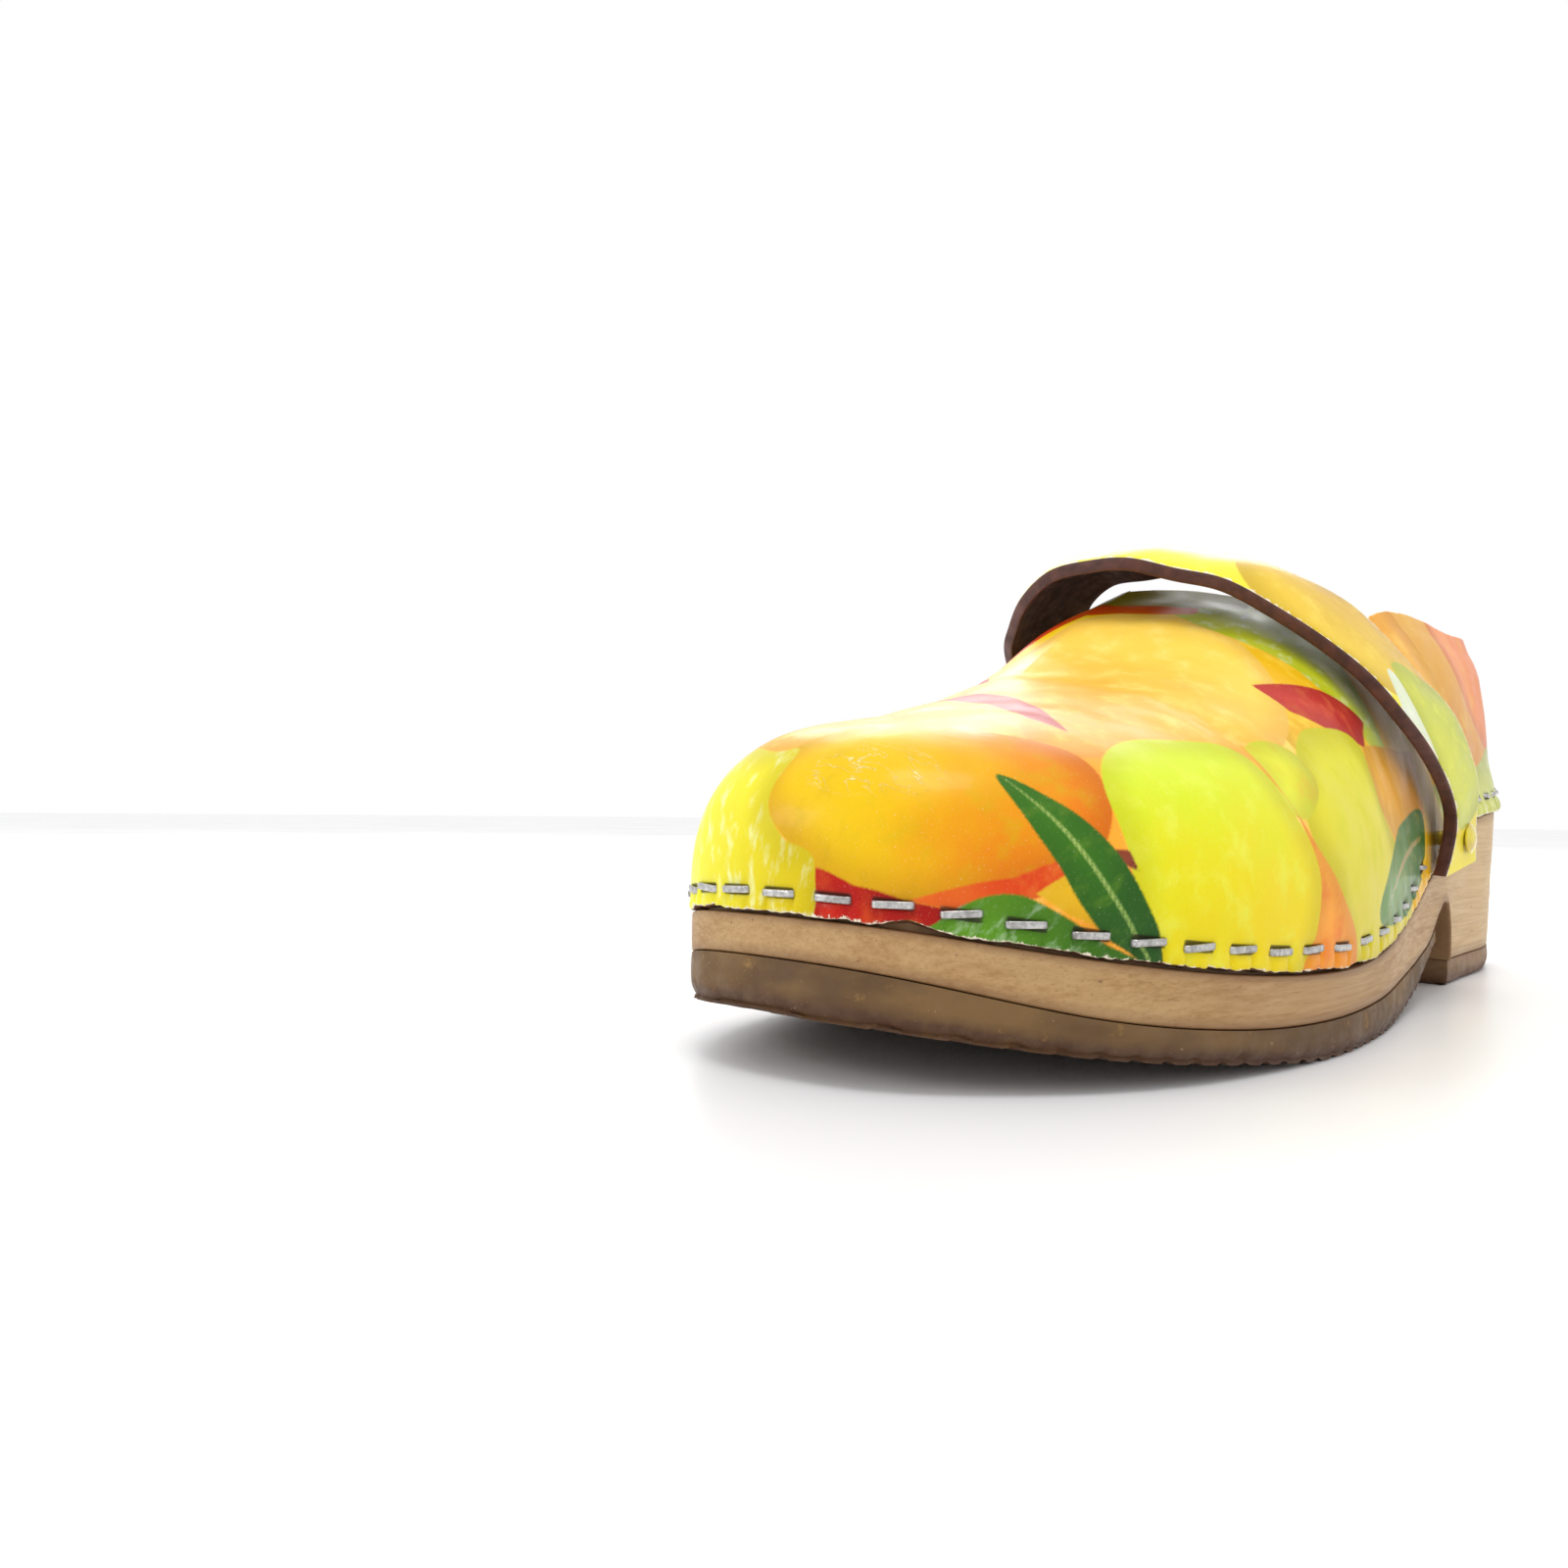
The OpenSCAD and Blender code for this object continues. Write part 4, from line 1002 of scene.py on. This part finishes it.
rings, rim_shade_and_low_band = [], []
sp = spine(ring)
rings.append(at_z(sp, wood_z(sp[:, 1])))
for k in (0.25, 0.5, 0.75, 0.93):
    p = inward(ring, k, heel_in)
    rings.append(at_z(p, np.where(k > 0.6, wood_z(oy) * (k - 0.6) / 0.4 + wood_z(p[:, 1]) * (1 - (k - 0.6) / 0.4), wood_z(p[:, 1]))))
BEV = 0.7
for a in (0, 30, 60, 90):  # rounded lower corner
    a = math.radians(a)
    p = inset(ring, heel_in + BEV * (1 - math.sin(a)))
    rings.append(at_z(p, zb + BEV * (1 - math.cos(a))))
side = np.linspace(0, 1, 15)
for t in side[1:-1]:
    z = zb + BEV + (zt - 0.5 - zb - BEV) * t
    # long shallow hollow carved along the waist, and tool chatter
    hollow = 0.5 * math.sin(math.pi * t) * smooth(-20, 20, oy) * (1 - smooth(60, 90, oy))
    p = inset(ring, heel_in * (1 - t) + hollow)
    q = at_z(p, z)
    n = outn(ring)
    w = 0.10 * wob(q, 22, 2) + 0.05 * wob(q * np.array([1, 0.25, 2.0]), 4, 3)
    q[:, :2] += n * w[:, None]
    rings.append(q)
for a in (0, 45, 90):
    a = math.radians(a)
    p = inset(ring, 0.35 * (1 - math.cos(a)))
    rings.append(at_z(p, zt - 0.35 + 0.35 * math.sin(a)))
rings.append(at_z(inset(ring, deep), zt))
rings.append(at_z(inset(ring, deep), zt + STEP - 1.4))
rings.append(at_z(inset(ring, deep + 0.4), zt + STEP - 0.45))
rings.append(at_z(inset(ring, deep + 1.3), zt + STEP + 0.15))
for k in (0.93, 0.8, 0.66, 0.5, 0.34, 0.18, 0.0):
    p = inward(ring, k, deep + 1.3)
    y = p[:, 1]
    e = rim_z(y) + STEP
    z = e - 4 * (1 - k * k) * smooth(-129, -70, y) * (1 - 0.35 * smooth(-20, 30, y) + 0.35 * smooth(50, 90, y)) \
        + 2.5 * np.maximum(0, -p[:, 0] / 34) * np.exp(-((y - 25) / 28) ** 2) * k * k
    rings.append(at_z(p, z))
R = np.array(rings)
nr, ni = R.shape[:2]
V = R.reshape(-1, 3)
idx = np.arange(nr * ni).reshape(nr, ni)
nx = np.roll(idx, -1, axis=1)
fs = np.stack([idx[:-1], nx[:-1], nx[1:], idx[1:]], -1).reshape(-1, 4)
dz = V[:, 2].reshape(nr, ni)
# bands that darken the wood: towards its bottom edge, and just under the leather's rim as painted shade
low = np.clip(1 - (dz - zb) / 2.2, 0, 1) * 0.75
top = np.clip(1 - (zt - dz) / 1.3, 0, 1) * (dz <= zt + 0.1) * 0.8
sole = mesh_of("wood_sole", V, fs, [wood], "shoe", ["sole_block"], None, {"rim_shade_and_low_band": np.maximum(low, top).ravel()}, sharp=45, weld=0.002)

# ---- forefoot rubber
ov = np.unique(np.round(np.concatenate([np.linspace(0, 6.4, 210), np.linspace(6.4, 6.8, 18)]), 5))
cs = np.concatenate([[-1, -0.985, -0.96, -0.9], np.linspace(-0.82, 0.82, 25), [0.9, 0.96, 0.985, 1]])


def sole_at(v, c, d):
    u = np.where(c < 0, -v, v)
    return inward(u, np.abs(c), d)


VV, CC = np.meshgrid(ov, cs, indexing="ij")
topg = sole_at(VV, CC, 0 * VV)
yy = topg[..., 1]
top3 = np.concatenate([topg, (wood_z(np.where(np.abs(CC) > 0.9, outl(np.where(CC < 0, -VV, VV))[..., 1], yy)) - 0.05)[..., None]], -1)
bot = sole_at(VV, CC, 0.9 * (np.abs(CC) == 1))
by = bot[..., 1]
edge_d = (1 - np.abs(CC))
groove = 0.5 + 0.5 * np.sin(by * 6.2832 / 5.2 + 0.9 * np.sin(bot[..., 0] * 0.16))
cut = smooth(0.62, 0.86, groove)
frame_in = smooth(0.0, 0.04, edge_d)
bz = tread_z(by) + 0.9 * cut * (0.35 + 0.65 * frame_in) * (by < 26)
bz = bz + np.where(np.abs(CC) == 1, 0.55, 0)
bz = np.minimum(bz, top3[..., 2] - 0.6)
bot3 = np.concatenate([bot, bz[..., None]], -1)
n, m = VV.shape
V = np.concatenate([top3.reshape(-1, 3), bot3.reshape(-1, 3)])
k = n * m
idx = np.arange(k).reshape(n, m)
faces = [grid(n, m, 0, True), grid(n, m, k)]
foot = np.concatenate([np.zeros(k), np.ones(k) * 0.9])
for col, sg in ((0, -1), (m - 1, 1)):
    t3, b3 = top3[:, col], bot3[:, col]
    u = sg * ov
    nn = outn(u)
    rows = [idx[:, col]]
    for t in (0.12, 0.3, 0.5, 0.68, 0.8, 0.9):
        p = outl(u)
        z = t3[:, 2] * (1 - t) + b3[:, 2] * t
        x = np.concatenate([p, z[:, None]], axis=1)
        chip = np.maximum(0, wob(x * np.array([1, 1, 0.4]), 3.4, 9) - 0.75) * 0.7 * smooth(0.5, 0.9, t)
        roll = 0.9 * max(0, (t - 0.62) / 0.38) ** 2.2
        off = 0.10 * math.sin(math.pi * t) - roll - chip + 0.07 * wob(x, 9, 3)
        x[:, :2] += nn * off[:, None]
        base = len(V)
        V = np.concatenate([V, x])
        foot = np.concatenate([foot, np.full(len(x), float(smooth(0.55, 0.85, t)))])
        rows.append(np.arange(base, base + n))
    rows.append(idx[:, col] + k)
    for r0, r1 in zip(rows[:-1], rows[1:]):
        faces.append(strip(r0, r1))
faces.append(strip(idx[-1], idx[-1] + k))
outsole = mesh_of("forefoot_rubber", V, np.concatenate(faces), [tread], "shoe", ["forefoot_outsole"], None, {"foot": foot}, sharp=42, weld=0.002)

# ---- heel lift
lu = np.linspace(7.5, 14.5, 360)
P = inset(lu, 1.8 + 0 * lu)
P = P[P[:, 1] >= 55.3]
a, b = P[-1].copy(), P[0].copy()
a[1] = b[1] = 55.3
line = a[None] + (b - a)[None] * np.linspace(0, 1, 60)[:, None]
loop = np.concatenate([P[1:-1], line])
cen = np.array([0, 92.0])
tang = np.roll(loop, -1, axis=0) - np.roll(loop, 1, axis=0)
nrm = np.stack([tang[:, 1], -tang[:, 0]], -1)
nrm /= np.maximum(np.linalg.norm(nrm, axis=1, keepdims=True), 1e-9)
if ((loop - cen) * nrm).sum() < 0:
    nrm = -nrm
prof_h = [(-0.9, 5.95), (-0.25, 5.95), (0.0, 5.75), (0.06, 4.6), (0.10, 3.6), (0.06, 2.8), (-0.05, 2.0), (-0.28, 1.2), (-0.7, 0.5), (-1.3, 0.12), (-2.2, 0.0)]
V, foot = [], []
for off, z in prof_h:
    back = smooth(100, 128, loop[:, 1]) * smooth(3.4, 0.0, z) * 1.1  # worn, rounded rear corner
    q = loop + nrm * (off - back)[:, None]
    x = np.concatenate([q, np.full((len(q), 1), z)], axis=1)
    x[:, 2] += smooth(104, 128, loop[:, 1]) * (z < 1.5) * 0.35 * (1.5 - z) / 1.5
    w = (0.05 * wob(x, 8, 1) - 0.35 * np.maximum(0, wob(x * np.array([1, 1, 0.3]), 3.5, 6) - 0.8) * (z < 2.5))
    x[:, :2] += nrm * w[:, None]
    V.append(x)
    foot.append(np.full(len(x), float(smooth(3.6, 1.4, z))))
nl = len(loop)
V = np.concatenate(V + [np.array([[cen[0], cen[1], 5.95], [cen[0], cen[1], 0.0]])])
foot = np.concatenate(foot + [np.array([0.0, 1.0])])
faces = []
for r in range(len(prof_h) - 1):
    for i in range(nl):
        j = (i + 1) % nl
        faces.append((r * nl + i, r * nl + j, (r + 1) * nl + j, (r + 1) * nl + i))
c0, c1, o1 = len(V) - 2, len(V) - 1, (len(prof_h) - 1) * nl
for i in range(nl):
    j = (i + 1) % nl
    faces.append((i, c0, j))
    faces.append((o1 + i, o1 + j, c1))
lift = mesh_of("heel_rubber_lift", V, faces, [lift_rubber], "shoe", ["heel_lift"], None, {"foot": foot}, sharp=40, weld=0.002)


# ---- staples: flat wire, rounded at the bends, each a little different
def wire(u, up, w, tilt, sink):
    p = last(np.float64(u), f_at(u, up))
    n2 = outn(np.float64(u))
    q = last(np.float64(u), f_at(u, up + 0.6))
    rise = q - p
    rise /= np.linalg.norm(rise)
    tang = np.array([-n2[1], n2[0], 0.0])
    c, s = math.cos(tilt), math.sin(tilt)
    xa = tang * c + rise * s
    za = rise * c - tang * s
    ya = np.cross(za, xa)
    if ya[:2] @ n2 < 0:
        ya = -ya
    T_, W_ = 0.60, 1.06  # wire thickness, width
    r = 0.55
    path = [(-w / 2, -5.0), (-w / 2, -r)]
    for a in (22, 45, 68):
        a = math.radians(a)
        path.append((-w / 2 + r * (1 - math.cos(a)), -r * (1 - math.sin(a))))
    path += [(-w / 2 + r, 0.0), (-w / 6, 0.03), (w / 6, 0.03), (w / 2 - r, 0.0)]
    for a in (68, 45, 22):
        a = math.radians(a)
        path.append((w / 2 - r * (1 - math.cos(a)), -r * (1 - math.sin(a))))
    path += [(w / 2, -r), (w / 2, -5.0)]
    path = np.array(path)
    d = np.gradient(path, axis=0)
    d /= np.linalg.norm(d, axis=1, keepdims=True)
    nm = np.stack([-d[:, 1], d[:, 0]], -1)
    b = 0.13
    sec = [(-T_ / 2 + b, -W_ / 2), (T_ / 2 - b, -W_ / 2), (T_ / 2, -W_ / 2 + b), (T_ / 2, W_ / 2 - b), (T_ / 2 - b, W_ / 2), (-T_ / 2 + b, W_ / 2), (-T_ / 2, W_ / 2 - b), (-T_ / 2, -W_ / 2 + b)]
    V = []
    for (x, y), (nx_, ny_) in zip(path, nm):
        for st, sw in sec:
            V.append(p + xa * (x + nx_ * st) + ya * (y + ny_ * st - sink) + za * sw)
    k = len(sec)
    F = []
    for i in range(len(path) - 1):
        for j in range(k):
            F.append((i * k + j, i * k + (j + 1) % k, (i + 1) * k + (j + 1) % k, (i + 1) * k + j))
    F.append(tuple(range(k))[::-1])
    F.append(tuple(range((len(path) - 1) * k, len(path) * k)))
    return V, F


def staples(name, us, node, ups):
    V, F = [], []
    g = np.random.default_rng(11 + len(us))
    for u, up in zip(us, ups):
        v, f = wire(u, up + g.uniform(-0.15, 0.15), 5.4 + g.uniform(-0.12, 0.12), math.radians(g.uniform(-3, 3)), -0.16 + g.uniform(-0.05, 0.08))
        o = len(V)
        V += list(v)
        F += [tuple(i + o for i in x) for x in f]
    import bmesh
    ob = mesh_of(name, np.array(V), F, [steel], "shoe", [node], sharp=50)
    bm = bmesh.new()
    bm.from_mesh(ob.data)
    bmesh.ops.recalc_face_normals(bm, faces=bm.faces)
    bm.to_mesh(ob.data)
    bm.free()
    return ob


staples("vamp_staple_row", VAMP_ST, "vamp_staples", [float(staple_up(np.float64(a))) for a in VAMP_ST])
staples("counter_staple_row", COUNTER_ST, "counter_staples", [float(staple_up(np.float64(a))) for a in COUNTER_ST])

# ---- the CAD pieces that stay
enamel = enamel_mat()
for node, mat in (("lateral_pivot_nail", enamel), ("medial_pivot_nail", enamel)):
    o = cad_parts[node]
    o.data.materials.clear()
    o.data.materials.append(mat)

# ---------------------------------------------------------------- floor, light, camera
def floor_mat():
    T = Tree("pale_floor")
    o = T.coords()
    a = T.noise(o, 6, 2, 0.5)
    col = T.mix(T.rng(a, 0.3, 0.7), lin((246, 246, 246)), lin((240, 240, 241)))
    return T.set(color=col, rough=T.rng(a, 0.3, 0.7, 0.30, 0.36), spec=0.35)


floor = bpy.data.meshes.new("floor")
floor.from_pydata([(-6, -6, 0), (6, -6, 0), (6, 6, 0), (-6, 6, 0)], [], [(0, 1, 2, 3)])
floor.materials.append(floor_mat())
fo = bpy.data.objects.new("floor", floor)
bpy.context.scene.collection.objects.link(fo)

world = bpy.data.worlds.new("studio")
world.use_nodes = True
bg = world.node_tree.nodes.get("Background") or world.node_tree.nodes.new("ShaderNodeBackground")
bg.inputs[0].default_value = (1.0, 1.0, 1.0, 1)
bg.inputs[1].default_value = WORLD
bpy.context.scene.world = world


def softbox(name, loc, aim, size, size_y, power):
    ld = bpy.data.lights.new(name, "AREA")
    ld.shape = "RECTANGLE"
    ld.size, ld.size_y = size, size_y
    ld.energy = power
    ob = bpy.data.objects.new(name, ld)
    bpy.context.scene.collection.objects.link(ob)
    from mathutils import Vector
    d = Vector(aim) - Vector(loc)
    ob.matrix_world = Matrix.Translation(Vector(loc)) @ d.to_track_quat("-Z", "Y").to_matrix().to_4x4()
    return ob


for args in LIGHTS:
    softbox(*args)

yaw, pitch, roll = math.radians(44.49), math.radians(1.37), math.radians(0.64)
fwd = np.array([-math.sin(yaw) * math.cos(pitch), math.cos(yaw) * math.cos(pitch), math.sin(pitch)])
right = np.array([math.cos(yaw), math.sin(yaw), 0.0])
up = np.cross(right, fwd)
rr_ = math.cos(roll) * right + math.sin(roll) * up
uu_ = -math.sin(roll) * right + math.cos(roll) * up
cam = bpy.data.cameras.new("camera")
cam.sensor_width = 36
cam.lens = 27.513
cam.clip_start, cam.clip_end = 0.01, 50
co = bpy.data.objects.new("camera", cam)
bpy.context.scene.collection.objects.link(co)
M = Matrix.Identity(4)
for i in range(3):
    M[i][0], M[i][1], M[i][2], M[i][3] = rr_[i], uu_[i], -fwd[i], (0.11881, -0.25148, 0.03846)[i]
co.matrix_world = M
bpy.context.scene.camera = co

bpy.context.scene.view_settings.view_transform = "Standard"
